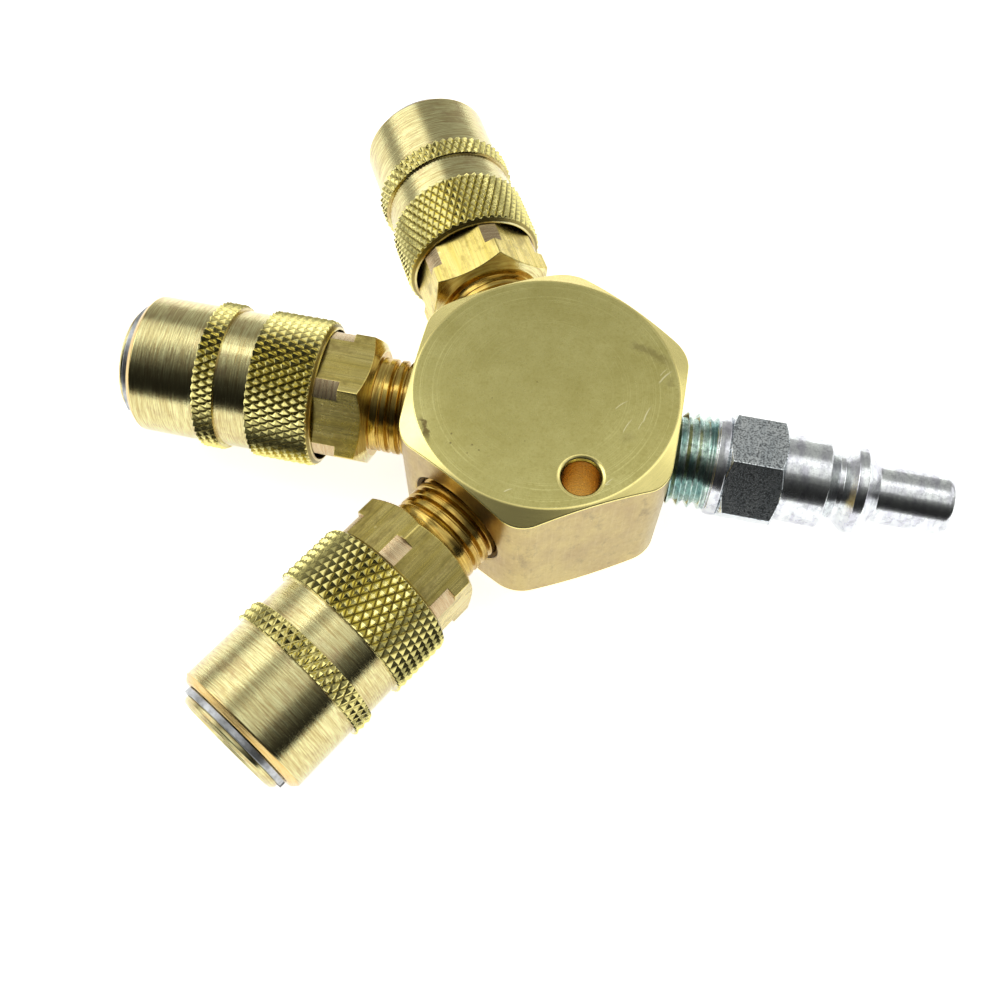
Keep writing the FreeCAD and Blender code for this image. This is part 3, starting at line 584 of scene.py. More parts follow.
# The material's name, what makes it, and what that is told
FINISHES = {
    "face": ("faced free-cutting brass", faced_brass),
    "chamfer": ("form-cut brass chamfer", chamfer_brass),
    "side": ("drawn brass bar", drawn_side_brass),
    "drilled": ("drilled brass", drilled_brass),
    "hexagon": ("drawn hexagon brass", drawn_hexagon_brass),
    "thread": ("die-cut brass thread", lathe_brass, "#AC883E", "#D4BA66", "#7E5630", 0.18, 3.0, 0.25),
    "corner": ("turned brass corner", lathe_brass, "#B69C76", "#CFBC94", "#A28362", 0.26, 2.4, 0.8),
    "band": ("turned brass band", lathe_brass, "#BAA66E", "#E4DFA6", "#9E7C5C", 0.11, 3.4, 0.8),
    "inner": ("bored brass", lathe_brass, "#D2AE66", "#E9CD8A", "#B98F55", 0.26, 2.5, 0.3),
    "knurl": ("rolled brass knurl", knurled_brass),
    "zinc thread": ("zinc-plated thread", zinc_plate, "#DDEBE2", "#9DBBB7", 0.12, 0.7, 0.08, 0.4),
    "zinc collar": ("zinc-plated collar", zinc_plate, "#F3F7F6", "#CCCCD4", 0.13, 0.7, 0.08, 0.25),
    "zinc hexagon": ("zinc-plated hexagon", zinc_plate, "#F8FDFF", "#E2E9ED", 0.12, 0.24, 0.1, 0.9),
    "wire": ("drawn spring wire", hard_steel, "#BDBFC1", 0.28, 1.5),
    "ball": ("lapped ball steel", hard_steel, "#DADCDE", 0.07, 0.6),
    "rubber": ("moulded nitrile rubber", nitrile_rubber),
    "sealant": ("cured thread sealant", thread_sealant),
}


def finish(key):
    """The material for a surface, made the first time that it is asked for."""
    name, make, *told = FINISHES[key]
    return bpy.data.materials.get(name) or make(name, *told)


# Pieces

def block_outline(places):
    """A side of the block seen from above, by the distance along its skin from the middle of the flat.

    Straight up to the edge rounding, then along the rounding's arc: centre plus radius times cosine and sine
    of the arc's share.
    """
    rounding = size("block_edge_radius")
    flat_half = (block_apothem() - rounding) * math.tan(HEX_SLANT)
    turn = np.maximum(np.abs(places) - flat_half, 0) / rounding
    out = block_apothem() - rounding + rounding * np.cos(turn)
    return out, np.sign(places) * (np.minimum(np.abs(places), flat_half) + rounding * np.sin(turn))


def make_block():
    """The hexagon block: sides, end chamfers, end faces, ports and hanging hole in one skin.

    A side with a port is a grid from the port's rim to the side's border: a point is rim plus its share of
    the way to the border, on the unrolled side. The end faces are grids from the hanging hole's rim to the
    rim of the face, along rays from the hole's middle.
    """
    skin = Skin()
    height, face_radius, rounding = size("block_height"), size("block_face_radius"), size("block_edge_radius")
    middle = height / 2
    flat_half = (block_apothem() - rounding) * math.tan(HEX_SLANT)
    arc = np.linspace(flat_half, flat_half + rounding * HEX_SLANT, 11)[1:]
    places = np.concatenate([-arc[::-1], np.linspace(-flat_half, flat_half, 37), arc])
    out, side = block_outline(places)
    edge_ease, guard = 0.15, 1.3
    low = (np.hypot(out, side) - face_radius) * math.tan(CHAMFER_SLANT) + guard * edge_ease
    high = height - low
    shares = np.linspace(0, 1, 31)
    border = opening_border(places, low, high, shares)
    spin = np.arctan2(border[:, 1] - middle, border[:, 0])
    sink = size("port_countersink")
    mouth = size("thread_radius") + sink
    lip, depth, taper = 0.09, 5.0, 0.14
    rim = (mouth + lip) * np.stack([np.cos(spin), np.sin(spin)], 1) + [0, middle]
    t = np.concatenate([[0, 0.02], np.linspace(0.1, 1, 15)])[:, None, None]
    spread = (1 - t) * rim + t * border
    wall = block_outline(spread[..., 0])
    port = turned([
        (0, mouth + lip, 0), (0, mouth, 0.07), (-sink, mouth - sink, 0.05), (-depth, mouth - sink - taper, 0),
        (-depth, 0.0, 0),
    ], np.degrees(spin))
    rim_rows = 8
    inside = np.where(np.arange(len(port) - 1) < rim_rows, 2, 3)[:, None]
    for angle in SIDES:
        if angle in PLAIN_SIDES:
            skin.strip(swung(out, side, low + shares[:, None] * (high - low), angle), 2, closed=False)
            continue
        skin.strip(swung(*wall, spread[..., 1], angle), 2)
        skin.strip(swung(block_apothem() + port[..., 0], port[..., 1], port[..., 2] + middle, angle), inside)
    loop = np.concatenate([swung(out, side, 0.0, angle)[:-1] for angle in SIDES])
    reach = np.hypot(loop[:, :1], loop[:, 1:2])
    ray = loop[:, :2] / reach
    slant = np.array([-math.cos(CHAMFER_SLANT), math.sin(CHAMFER_SLANT)])
    edge = np.concatenate([reach, (face_radius - reach) * math.tan(CHAMFER_SLANT)], 1)
    edge = edge + soften([(0, -1, 0), (0, 0, edge_ease), (*slant, 0)], guard)[1:-1, None]
    rim = [face_radius, 0] + soften([(*-slant, 0), (0, 0, 0.14), (-1, 0, 0)])[1:-1, None]
    bevel = np.concatenate([edge, np.broadcast_to(rim, (len(rim), len(loop), 2))])
    hang, place = size("hang_hole_radius"), math.radians(-60.5)
    spot = size("hang_hole_distance") * np.array([math.cos(place), math.sin(place)])
    away = rim[-1, 0, 0] * ray - spot
    wide = hang + 0.6
    hole = turned([
        (0, wide + lip, 0), (0, wide - 0.06, 0.1), (-0.17, wide - 0.36, 0.14), (-0.6, hang, 0.1),
        (-middle, hang, 0),
    ], np.degrees(np.arctan2(away[:, 1], away[:, 0])))
    t = np.concatenate([[0, 0.006], np.linspace(0.08, 0.94, 12), [0.994, 1]])[:, None, None]
    for level, flip in ((height, 1), (0.0, -1)):
        end = np.concatenate([bevel[..., :1] * ray, level + flip * bevel[..., 1:]], -1)
        upright = np.stack([spot[0] + hole[..., 1], spot[1] + hole[..., 2], level + flip * hole[..., 0]], -1)
        skin.strip(end, 1)
        skin.strip((1 - t) * end[-1:] + t * upright[:1], 0)
        skin.strip(upright[:-2], 1)
        skin.strip(upright[-3:], 3)
    finishes = ("face", "chamfer", "side", "drilled")
    return skin.piece("hexagon_block", finishes, "manifold", "block_brass", "manifold_block")


def screw_thread(skin, angles, start, end, neck, cone, share, runout, power, flat, lag=0.0):
    """Adds a right-hand taper thread between two places along the axis. Gives back the circle at its start.

    The grid's rows follow the helix: place is start plus the pitch times the row's share of a turn plus the
    angle's share. Rows past either end gather on the end's circle, where the fade has brought the depth to 0.
    The groove is a smooth step down from the flat share of the crest to the narrow root. It has a share of
    the full depth, which a power of the distance over the run-out brings to 0. The crest follows the 1 in 16
    taper, under a cone at the start and one that comes down to the neck at the end.
    """
    pitch, radius = size("thread_pitch"), size("thread_radius")
    edge, root = flat / 2, 0.46
    flank = edge + (root - edge) * np.array([0.08, 0.3, 0.5, 0.7, 0.92, 1.0])
    half = np.concatenate([[0, 0.7 * edge, edge], flank, [0.48]])
    turn = np.concatenate([half, [0.5], 1 - half[:0:-1]])
    turns = int(math.ceil((end - start) / pitch)) + 3
    phases = (np.arange(turns)[:, None] + turn[None]).ravel()
    places = phases[:, None] - 1 - lag + ((angles - angles[0]) / 360)[None]
    places = np.clip(start + pitch * places, start, end)
    step = np.clip((np.abs(phases - np.round(phases)) - edge) / (root - edge), 0, 1)
    step = (1 - flat) * step + flat * step ** 2 * (3 - 2 * step)
    lead, tip_drop = 1.6, 1.0
    tip = radius + start / 32 - tip_drop
    crest = np.minimum(radius + places / 32, tip + np.clip(places - start, 0, tip_drop))
    crest = np.minimum(crest, neck + (end - places) * cone)
    fade = share * np.clip((places - start) / lead, 0, 1) * np.clip((end - places) / runout, 0, 1) ** power
    radii = crest - size("thread_depth") * fade * step[:, None]
    skin.strip(around(places, radii, angles[None]), 1, shift=len(turn))
    return around(start, tip, angles)[None]


def make_adapter(name):
    """Adapter: helical taper thread, neck, drawn hexagon with its turned-down corners, and bores."""
    skin = Skin(PORTS[name])
    flats, turned_radius, face_radius, neck = 16.7, 9.0, 7.4, 6.45
    start, end, face, step, tail = -5.8, 4.5, 5.4, 9.3, 16.0
    angles = hexagon_angles(HEX_TURN[name], 30 - math.degrees(math.acos(flats / 2 / turned_radius)))
    reach = hexagon(angles, flats, 0.22, HEX_TURN[name])
    thread_end = screw_thread(
        skin, angles, start, end, neck, cone=0.6, share=0.75, runout=0.9, power=1.0, flat=0.45,
        lag=THREAD_LAG[name])
    hollow = [(end, neck), (5.2, neck), (5.34, 6.49), (face, 6.62), (face, 6.66), (face, face_radius - 0.13)]
    skin.strip(circles(hollow, angles), 1)
    rows = hexagon_rows(reach, face, face_radius, 0.1)
    cone_rows = 8
    skin.strip(circles(rows[:cone_rows], angles), 4)
    skin.strip(circles(rows[cone_rows - 1:], angles), 0)
    low = np.minimum(reach, turned_radius)
    flat = [
        rows[-1], (step - 0.1, reach), (step - 0.05, reach), (step - 0.015, np.maximum(low, reach - 0.015)),
        (step, np.maximum(low, reach - 0.05)), (step, np.maximum(low, reach - 0.07)),
    ]
    skin.strip(circles(flat, angles), 0)
    beyond = reach > turned_radius + 0.001
    corner = np.where(beyond | np.roll(beyond, -1), 3, 0)
    rest = circles([
        flat[-1], (step, low), (step + 0.03, low), (tail - 0.4, low), (tail - 0.3, low),
        (tail, np.minimum(low, 8.7)),
    ], angles)
    skin.strip(rest, corner)
    bores = turned([
        (tail, 8.34, 0), (tail, 7.1, 0.03), (15.1, 7.1, 0.03), (15.1, 6.22, 0.03), (10.5, 6.22, 0.03),
        (10.5, 5.3, 0.03), (6.6, 5.3, 0.03), (6.6, 3.7, 0.03), (start, 3.7, 0),
    ], angles)
    skin.strip([rest[-1:], bores, thread_end], 2)
    finishes = ("hexagon", "thread", "inner", "corner", "band")
    return skin.piece(name + "_adapter_body", finishes, "manifold", "fitting_brass", name + "_adapter")


def make_inlet_plug():
    """Inlet plug: helical taper thread, collar, hexagon, and the nose with its locking groove."""
    skin = Skin(0.0)
    flats, turn, face_radius, neck, bore = 13.2, 53.9, 6.6, 6.3, 2.6
    start, end, rear, front, tip = -8.6, 5.4, 7.1, 14.5, 37.0
    nose, groove, shank = 5.95, 4.45, 3.925
    angles = hexagon_angles(turn, 8.0)
    reach = hexagon(angles, flats, 0.2, turn)
    thread_end = screw_thread(
        skin, angles, start, end, neck, cone=1.2, share=1.0, runout=0.7, power=0.6, flat=0.1)
    skin.strip(turned([
        (end, neck, 0), (5.5, neck, 0.03), (5.62, 6.7, 0.1), (6.3, 6.85, 0.2), (6.95, 6.85, 0.12),
        (rear, 6.6, 0.04), (rear, 6.48, 0),
    ], angles), 2)
    rows = [(rear, 6.48)] + hexagon_rows(reach, rear, face_radius, 0.09)
    rows += hexagon_rows(reach, front, face_radius, 0.09, -1)[::-1]
    skin.strip(circles(rows, angles), 0)
    rows = turned([
        (front, 6.483, 0), (front, nose, 0.05), (20.275, nose, 0.12), (21.775, groove, 0.12),
        (22.375, groove, 0.12), (23.875, nose, 0.12), (25.075, nose, 0.12), (27.1, shank, 0.12),
        (36.2, shank, 0.2), (36.76, 3.685, 0.25), (tip, 3.125, 0.15), (tip, 2.75, 0.1),
        (tip - 0.2, bore, 0.1), (start, bore, 0),
    ], angles)
    skin.strip([rows, thread_end], 2)
    finishes = ("zinc hexagon", "zinc thread", "zinc collar")
    return skin.piece("plug_body", finishes, "manifold", "zinc_steel", "inlet_plug")


def knurl(skin, angles, places, limit, pitch, phase):
    """Adds a diamond knurl between two places. Gives back its first and its last row.

    Two families of grooves cross: with x the angle in starts and y the place in pitches, the height is the
    smaller of the two triangle waves of x + y and x - y, so that the land between the grooves is a pyramid
    with its point worn off. The limit is the turned outline that the knurl was rolled into.
    """
    starts = bpy.context.scene.manifold_sizes.knurl_starts
    worn = 0.97

    def radius(place, angle):
        x = (angle - phase[1]) * starts / 360
        y = (place - phase[0]) / pitch
        one = 1 - 2 * np.abs((x + y) % 1 - 0.5)
        two = 1 - 2 * np.abs((x - y) % 1 - 0.5)
        groove = 1 - np.minimum(np.minimum(one, two), worn)
        return np.minimum(size("knurl_radius") - size("knurl_depth") * groove, limit(place))

    radii = radius(places[:, None], angles[None])
    step = np.append(np.diff(angles), angles[0] + 360 - angles[-1])
    middle = radius((places[:-1] + places[1:])[:, None] / 2, (angles + step / 2)[None])
    ring = np.concatenate([radii, radii[:, :1]], 1)
    a, b, c, d = ring[:-1, :-1], ring[:-1, 1:], ring[1:, 1:], ring[1:, :-1]
    swap = np.abs((b + d) / 2 - middle) < np.abs((a + c) / 2 - middle)
    rows = around(places[:, None], radii, angles[None])
    skin.strip(rows, 1, swap=swap)
    return rows[:1], rows[-1:]


def make_sleeve(name):
    """Sleeve: rear lip, diamond-knurled bands, brushed bands, and its stepped bore with the ramp."""
    skin = Skin(PORTS[name])
    crest, band, pitch = size("knurl_radius"), size("band_radius"), size("knurl_pitch")
    columns = bpy.context.scene.manifold_sizes.knurl_starts * COLUMNS_PER_GROOVE
    phase, fine_phase, fine_pitch = KNURL_PHASE[name], FINE_PHASE[name], pitch * FINE_SHARE
    angles = phase[1] + np.arange(columns) * 360 / columns
    lip_place, lip, first_full, bore, waist = 12.56, 9.3, 13.2, 8.7, 7.58

    def grid(first, last, origin, pitch):
        step = pitch / COLUMNS_PER_GROOVE
        low = math.ceil((first - origin) / step + 0.1)
        high = math.floor((last - origin) / step - 0.1)
        return np.concatenate([[first], origin + step * np.arange(low, high + 1), [last]])

    def rear_cone(places):
        return np.minimum(lip + (places - lip_place) * (crest - lip) / (first_full - lip_place), crest)

    def shoulder(place, row, drop):
        return around(place, np.minimum(np.hypot(row[0, :, 1], row[0, :, 2]), crest - drop), angles)[None]

    rear = [(12.5, 9.08, 0), (12.5, 9.16, 0.04), (lip_place, lip, 0.05), (first_full, crest, 0)]
    places = np.concatenate([[12.62, 12.7, 12.8, 12.9, 13.0, 13.1], grid(first_full, 21.22, phase[0], pitch)])
    low, high = knurl(skin, angles, places, rear_cone, pitch, phase)
    places = grid(25.88, 28.52, fine_phase[0], fine_pitch)
    fine_low, fine_high = knurl(skin, angles, places, lambda place: crest - 0.03, fine_pitch, fine_phase)
    after = shoulder(21.29, high, 0.09)
    before = shoulder(25.81, fine_low, 0.1)
    front = shoulder(28.59, fine_high, 0.1)
    waist_band = [(21.3, band + 0.05, 0), (21.31, band, 0.03), (25.79, band, 0.03), (25.8, band + 0.05, 0)]
    tube = turned([
        (28.6, band + 0.05, 0), (28.61, band, 0.03), (37.5, band, 0.15), (38.2, 8.78, 0.08),
        (38.2, waist, 0.06), (37.35, waist, 0.04), (37.35, 8.66, 0.04), (36.227, 8.66, 0.04),
        (31.318, waist, 0.04), (28.0, waist, 0.04), (28.0, bore, 0.04), (20.0, bore, 0.04),
        (20.0, 9.08, 0.04), (12.5, 9.08, 0),
    ], angles)
    outer_rows = 11
    skin.strip([turned(rear, angles)[:-1], low], 0)
    skin.strip([high, after], 1)
    skin.strip([after, turned(waist_band, angles), before], 0)
    skin.strip([before, fine_low], 1)
    skin.strip([fine_high, front], 1)
    skin.strip([front, tube[:outer_rows]], 0)
    skin.strip(tube[outer_rows - 1:], 2)
    node, finishes = name + "_sleeve", ("band", "knurl", "inner")
    return skin.piece(name + "_knurled_sleeve", finishes, node, "sleeve_brass", node, bend=26.0)


def ball_windows(skin, radius, hole, last, across, zone):
    """A band of a cylinder with a round window for each ball. Gives back the angles round a window.

    Each sector is a grid from the window's rim to the sector's border, on the unrolled cylinder: arc length
    is radius times the angle whose sine is the rim's offset over the radius.
    """
    border = opening_border(across, WINDOW_START, last, np.linspace(0, 1, 13))
    swing = np.arctan2(border[:, 1] - BALL_PLACE, np.radians(border[:, 0]) * radius)
    rim_angle = np.degrees(np.arcsin(hole * np.cos(swing) / radius))
    rim = np.stack([rim_angle, BALL_PLACE + hole * np.sin(swing)], 1)
    t = np.concatenate([[0, 0.03], np.linspace(0.12, 1, 7)])[:, None, None]
    spread = (1 - t) * rim + t * border
    for centre in BALL_ANGLES:
        skin.strip(around(spread[..., 1], radius, spread[..., 0] + centre), zone)
    return swing


def window_rim(radius, hole, swing, centre):
    """The rim of a round window in a cylinder: the hole's circle, at the height where the cylinder is met."""
    side = hole * np.cos(swing)
    up = np.sqrt(radius ** 2 - side ** 2)
    return np.roll(swung(up, side, BALL_PLACE + hole * np.sin(swing), centre), 1, -1)


def make_socket(name):
    """Socket body: spigot, shoulder, ring groove, mouth, lead-in cone, seal groove, seat and ball windows."""
    skin = Skin(PORTS[name])
    across = np.linspace(-45, 45, 25)
    angles = np.concatenate([centre + across[:-1] for centre in BALL_ANGLES])
    body, bore, seat, wide, narrow = 7.5, 6.28, 4.05, 1.3, 1.225
    body_end, bore_end, mouth = 34.9, 34.31, 40.0
    skin.strip(turned([
        (10.6, 5.3, 0), (10.6, 6.2, 0.05), (16.0, 6.2, 0.03), (16.0, body, 0.05), (WINDOW_START, body, 0),
    ], angles), 0)
    skin.strip(turned([
        (body_end, body, 0), (38.25, body, 0.04), (38.25, 7.2, 0.03), (39.15, 7.2, 0.03), (39.15, body, 0.04),
        (39.6, body, 0.06), (mouth, 7.1, 0.06), (mouth, 6.83, 0.05), (39.2, 6.03, 0.08), (34.45, 6.03, 0.03),
        (34.32, 6.16, 0.01), (bore_end, bore, 0),
    ], angles), 0)
    skin.strip(turned([
        (WINDOW_START, bore, 0), (30.4, bore, 0.08), (28.17, seat, 0.08), (26.1, seat, 0.04),
        (26.1, 5.55, 0.04), (24.3, 5.55, 0.04), (24.3, seat, 0.04), (19.5, seat, 0.05), (19.5, 5.3, 0.04),
        (10.6, 5.3, 0),
    ], angles), 1)
    outside = ball_windows(skin, body, wide, body_end, across, 0)
    inside = ball_windows(skin, bore, narrow, bore_end, across, 1)
    steps = ((body, wide, outside), (6.38, wide, outside), (6.35, narrow, inside), (bore, narrow, inside))
    for centre in BALL_ANGLES:
        skin.strip(np.stack([window_rim(*step, centre) for step in steps]), 1)
    node = name + "_socket_body"
    return skin.piece(name + "_socket_shell", ("band", "inner"), "manifold", "valve_brass", node)


def make_ball(name, number):
    """A steel ball: radius times the sines and cosines of two angles, with its poles along the coupler."""
    skin = Skin(PORTS[name])
    tilt = np.linspace(0, math.pi, 25)[:, None]
    spin = np.linspace(0, 2 * math.pi, 40, endpoint=False)[None]
    out = BALL_OUT + BALL_RADIUS * np.sin(tilt) * np.cos(spin)
    side = BALL_RADIUS * np.sin(tilt) * np.sin(spin)
    along = BALL_PLACE - BALL_RADIUS * np.cos(tilt)
    skin.strip(np.roll(swung(out, side, along, BALL_ANGLES[number - 1]), 1, -1))
    node = "%s_ball_%d" % (name, number)
    return skin.piece("%s_steel_ball_%d" % (name, number), ("ball",), node, "ball_steel", node)


def make_spring(name, node, start, end, middle_radius, wire, turns, joint, travel):
    """A compression spring: a circle carried along a helix whose first and last turns lie closer.

    The place along the axis is a smooth ramp of the turn: the close turns rise by the wire's thickness each.
    The joint and the travel are not used.
    """
    skin = Skin(PORTS[name])
    turn = np.linspace(0, turns, int(turns * 40) + 1)
    close, gap = 0.75, 0.02
    first, last = start + wire + gap, end - wire - gap
    rise = close * 2 * wire * 1.06
    open_rise = first + rise + (turn - close) / (turns - 2 * close) * (last - first - 2 * rise)
    place = np.where(turn > turns - close, last - rise * (turns - turn) / close, open_rise)
    place = np.where(turn < close, first + rise * turn / close, place)
    kernel = np.hanning(13)[1:-1]
    padded = np.concatenate([2 * place[0] - place[5:0:-1], place, 2 * place[-1] - place[-2:-7:-1]])
    place = np.convolve(padded, kernel / kernel.sum(), "valid")
    angle = 2 * math.pi * turn
    radial = np.stack([0 * angle, np.cos(angle), np.sin(angle)], 1)
    path = np.stack([place, middle_radius * np.cos(angle), middle_radius * np.sin(angle)], 1)
    tangent = np.gradient(path, axis=0)
    tangent /= np.linalg.norm(tangent, axis=1)[:, None]
    spin = np.linspace(0, 2 * math.pi, 12, endpoint=False)[None, :, None]
    ring = np.cos(spin) * radial[:, None] + np.sin(spin) * np.cross(tangent, radial)[:, None]
    rows = path[:, None] + wire * 0.995 * ring
    ends = [np.broadcast_to(point, (1,) + rows.shape[1:]) for point in (path[:1], path[-1:])]
    skin.strip([ends[0], rows, ends[1]])
    node = "%s_%s" % (name, node)
    piece = skin.piece(node + "_coil", ("wire",), "manifold", "spring_steel", node, bend=50.0)
    port = math.radians(PORTS[name])
    axis = (math.cos(port), math.sin(port), 0.0)
    reach = (block_apothem() + start) * MM
    anchor = (reach * axis[0], reach * axis[1], axis_height() * MM)
    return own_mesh(piece)


def make_retaining_ring(name):
    """An open ring: a softened rectangle carried round all but 24 degrees, with flat ends."""
    skin = Skin(PORTS[name])
    rear, front, inner, outer, start = 38.3, 39.1, 7.2, 8.1, 7.6
    section = soften([
        (rear, start, 0), (rear, outer, 0.1), (front, outer, 0.1), (front, inner, 0.05), (rear, inner, 0.05),
        (rear, start, 0),
    ])[:-1]
    span = 336.0
    rows = around(section[None, :, 0], section[None, :, 1], np.linspace(0, span, 85)[:, None])
    middle = np.full((1, len(section)), (rear + front) / 2)
    ends = [around(middle, (inner + outer) / 2, angle) for angle in (0.0, span)]
    skin.strip([ends[0], rows, ends[1]])
    node = name + "_retaining_ring"
    return skin.piece(name + "_open_ring", ("wire",), "manifold", "spring_steel", node)


def make_sealant(name, port):
    """Dried sealant in the countersink: a washer whose outer edge wavers, as a bead does."""
    skin = Skin(port)
    angles = np.arange(0, 360, 3.0)
    waver = 0.5 + 0.5 * np.sin(np.radians(angles * 3 + 40)) * np.sin(np.radians(angles * 7))
    outer = 7.15 - 0.03 * waver
    back, inner = -0.63, 6.69
    rows = [
        (back, inner), (back, outer - 0.5), (-0.4, outer - 0.27), (-0.15 - 0.04 * waver, outer),
        (-0.16 - 0.04 * waver, outer - 0.06), (-0.26 - 0.05 * waver, outer - 0.17), (-0.4, 6.8),
        (-0.46, inner), (back, inner),
    ]
    skin.strip(circles(rows, angles))
    node = name + "_sealant"
    return skin.piece(node + "_bead", ("sealant",), "manifold", "thread_sealant", node, bend=60.0)


# Springs of a coupler: node, start, end, middle radius, wire radius, turns, joint and its travel
SPRINGS = (
    ("sleeve_spring", 16.0, 28.0, 8.1, 0.4, 5.5, "sleeve_slide", 3.0),
    ("valve_spring", 6.6, 16.6, 4.0, 0.3, 6.5, "valve_slide", 4.5),
)

# Inside of a coupler: node, its piece, finish, slot, bend that stays smooth, whether it moves with the valve
VALVE_PIECES = (
    ("poppet", "valve_poppet", "inner", "valve_brass", 32.0, True),
    ("poppet_seal", "valve_washer", "rubber", "seal_rubber", 32.0, True),
    ("plug_seal", "plug_seal_ring", "rubber", "seal_rubber", 60.0, False),
    ("body_seal", "body_seal_ring", "rubber", "seal_rubber", 60.0, False),
)

# Stage

# Brightness of the room by the angle from the far horizon over the top to the near horizon
ROOM_LEVELS = (
    (0, 0.85), (180, 0.22), (7, 0.6), (21, 0.5), (38, 0.38), (52, 0.43), (64, 0.5), (72, 0.52), (82, 0.5),
    (91, 0.46), (98, 0.36), (105, 0.25), (113, 0.18), (121, 0.13), (131, 0.05), (152, 0.02), (168, 0.02),
)
ROOM_TINT = (0.99, 1.0, 0.96)
# Direction, half angle, soft edge and brightness of each soft light
SOFT_LIGHTS = (
    ((-0.66, 0.3, 0.68), 18, 8, 1.1),
    ((-0.8, -0.05, 0.6), 14, 10, 1.0),
    ((0.16, 0.33, 0.93), 8, 8, 0.5),
    ((0.4, 0.07, 0.915), 17, 12, 0.55),
    ((0.66, 0.5, 0.56), 13, 10, 0.85),
)
# The near soft box, facing down, which lights the threads and the necks from above left
SOFT_BOX_PLACE = (-54.0, 27.0, 122.0)
SOFT_BOX_SIZE = (32.0, 28.0)
SOFT_BOX_LEVEL = 2.2
# The photograph's view: where from, turned from the front, up and askew, and through which lens
CAMERA_PLACE = (8.617, -74.932, 139.88)
CAMERA_ANGLES = (10.893, 63.235, 0.853)
CAMERA_LENS = 39.24
TABLE_REACH, TABLE_DROP = 2000.0, 0.4


def make_floor():
    """The table: opal acrylic lit softly from below, level with the face that the block stands on."""
    f = Finish("lit opal acrylic", "paper")
    f.cover("#FFFFFF", f.marks(0.01, 3.0, 0.5))
    f.put("OutputMaterial", [f.put("BsdfPrincipled", {
        "Base Color": f.skin, "Roughness": 0.85, "Specular IOR Level": 0.1,
        "Emission Color": "#FFFFFF", "Emission Strength": 0.8,
    })])
    mesh = bpy.data.meshes.new("acrylic_table")
    corners = np.array([(-1, -1, 0), (1, -1, 0), (1, 1, 0), (-1, 1, 0)]) * TABLE_REACH * MM
    mesh.from_pydata(corners.tolist(), [], [(0, 1, 2, 3)])
    mesh.materials.append(f.material)
    table = bpy.data.objects.new("acrylic_table", mesh)
    table.location.z = -TABLE_DROP * MM
    bpy.context.scene.collection.objects.link(table)


def make_lights():
    """Soft lights above to the left and right, in a grey room that is dark round the camera, and a near box.

    The room's brightness follows the angle about the left-right axis, from the far horizon over the top to
    the near one. Each light is a round patch about its own direction, with a soft edge. Behind the table the
    camera sees a plain pale wall instead of the room.
    """
    world = bpy.data.worlds.new("studio")
    bpy.context.scene.world = world
    world.use_nodes = True
    tree = world.node_tree
    tree.nodes.clear()
    way = put(tree, "TexCoord", out="Generated")
    y, z = (put(tree, "SeparateXYZ", [way], out=index) for index in (1, 2))
    angle = put(tree, "Math ARCTAN2", [z, y])
    light = put(tree, "ValToRGB", [put(tree, "Math MULTIPLY", [angle, 1 / math.pi])])
    elements = light.node.color_ramp.elements
    for index, (degrees, level) in enumerate(ROOM_LEVELS):
        element = elements[index] if index < 2 else elements.new(degrees / 180)
        element.position = degrees / 180
        element.color = (*(level * share for share in ROOM_TINT), 1)
    for direction, reach, edge, level in SOFT_LIGHTS:
        unit = tuple(np.array(direction) / np.linalg.norm(direction))
        facing = put(tree, "VectorMath DOT_PRODUCT", [way, unit], out="Value")
        limits = [math.cos(math.radians(reach + edge)), math.cos(math.radians(reach))]
        patch = put(tree, "MapRange", [facing, *limits, 0.0, level], interpolation_type="SMOOTHSTEP")
        light = put(tree, "Mix", {0: 1.0, 6: light, 7: patch}, out=2, data_type="RGBA", blend_type="ADD")
    seen = put(tree, "LightPath", out="Is Camera Ray")
    light = put(tree, "Mix", {0: seen, 6: light, 7: "#EDEDEB"}, out=2, data_type="RGBA")
    put(tree, "OutputWorld", [put(tree, "Background", [light, 1.0])])
    box = bpy.data.lights.new("soft_box", "AREA")
    box.shape = "RECTANGLE"
    box.size, box.size_y = SOFT_BOX_SIZE[0] * MM, SOFT_BOX_SIZE[1] * MM
    box.energy = SOFT_BOX_LEVEL * math.pi * box.size * box.size_y
    lamp = bpy.data.objects.new("soft_box", box)
    lamp.location = np.array(SOFT_BOX_PLACE) * MM
    bpy.context.scene.collection.objects.link(lamp)
    bpy.context.scene.view_settings.view_transform = "Standard"


def make_camera():
    """The photograph's view: steep, from the side of the inlet and the hanging hole."""
    azimuth, elevation, roll = np.radians(CAMERA_ANGLES)
    flat = math.cos(elevation)
    back = np.array([math.sin(azimuth) * flat, -math.cos(azimuth) * flat, math.sin(elevation)])
    right = np.array([math.cos(azimuth), math.sin(azimuth), 0.0])
    up = np.cross(back, right)
    lens = bpy.data.cameras.new("photograph_camera")
    lens.lens = CAMERA_LENS
    lens.sensor_width = 36.0
    lens.clip_start = 0.005
    camera = bpy.data.objects.new("photograph_camera", lens)
    pose = np.eye(4)
    pose[:3, 0] = math.cos(roll) * right + math.sin(roll) * up
    pose[:3, 1] = math.cos(roll) * up - math.sin(roll) * right
    pose[:3, 2] = back
    pose[:3, 3] = np.array(CAMERA_PLACE) * MM
    camera.matrix_world = Matrix(pose.tolist())
    bpy.context.scene.collection.objects.link(camera)
    bpy.context.scene.camera = camera


# Add-on

def length(name, description, value):
    return bpy.props.FloatProperty(
        name=name, description=description, default=value * MM, min=0.0, unit="LENGTH", precision=5)


def colour(name, description, code):
    return bpy.props.FloatVectorProperty(
        name=name, description=description, size=4, subtype="COLOR", min=0.0, max=1.0, default=srgb(code))


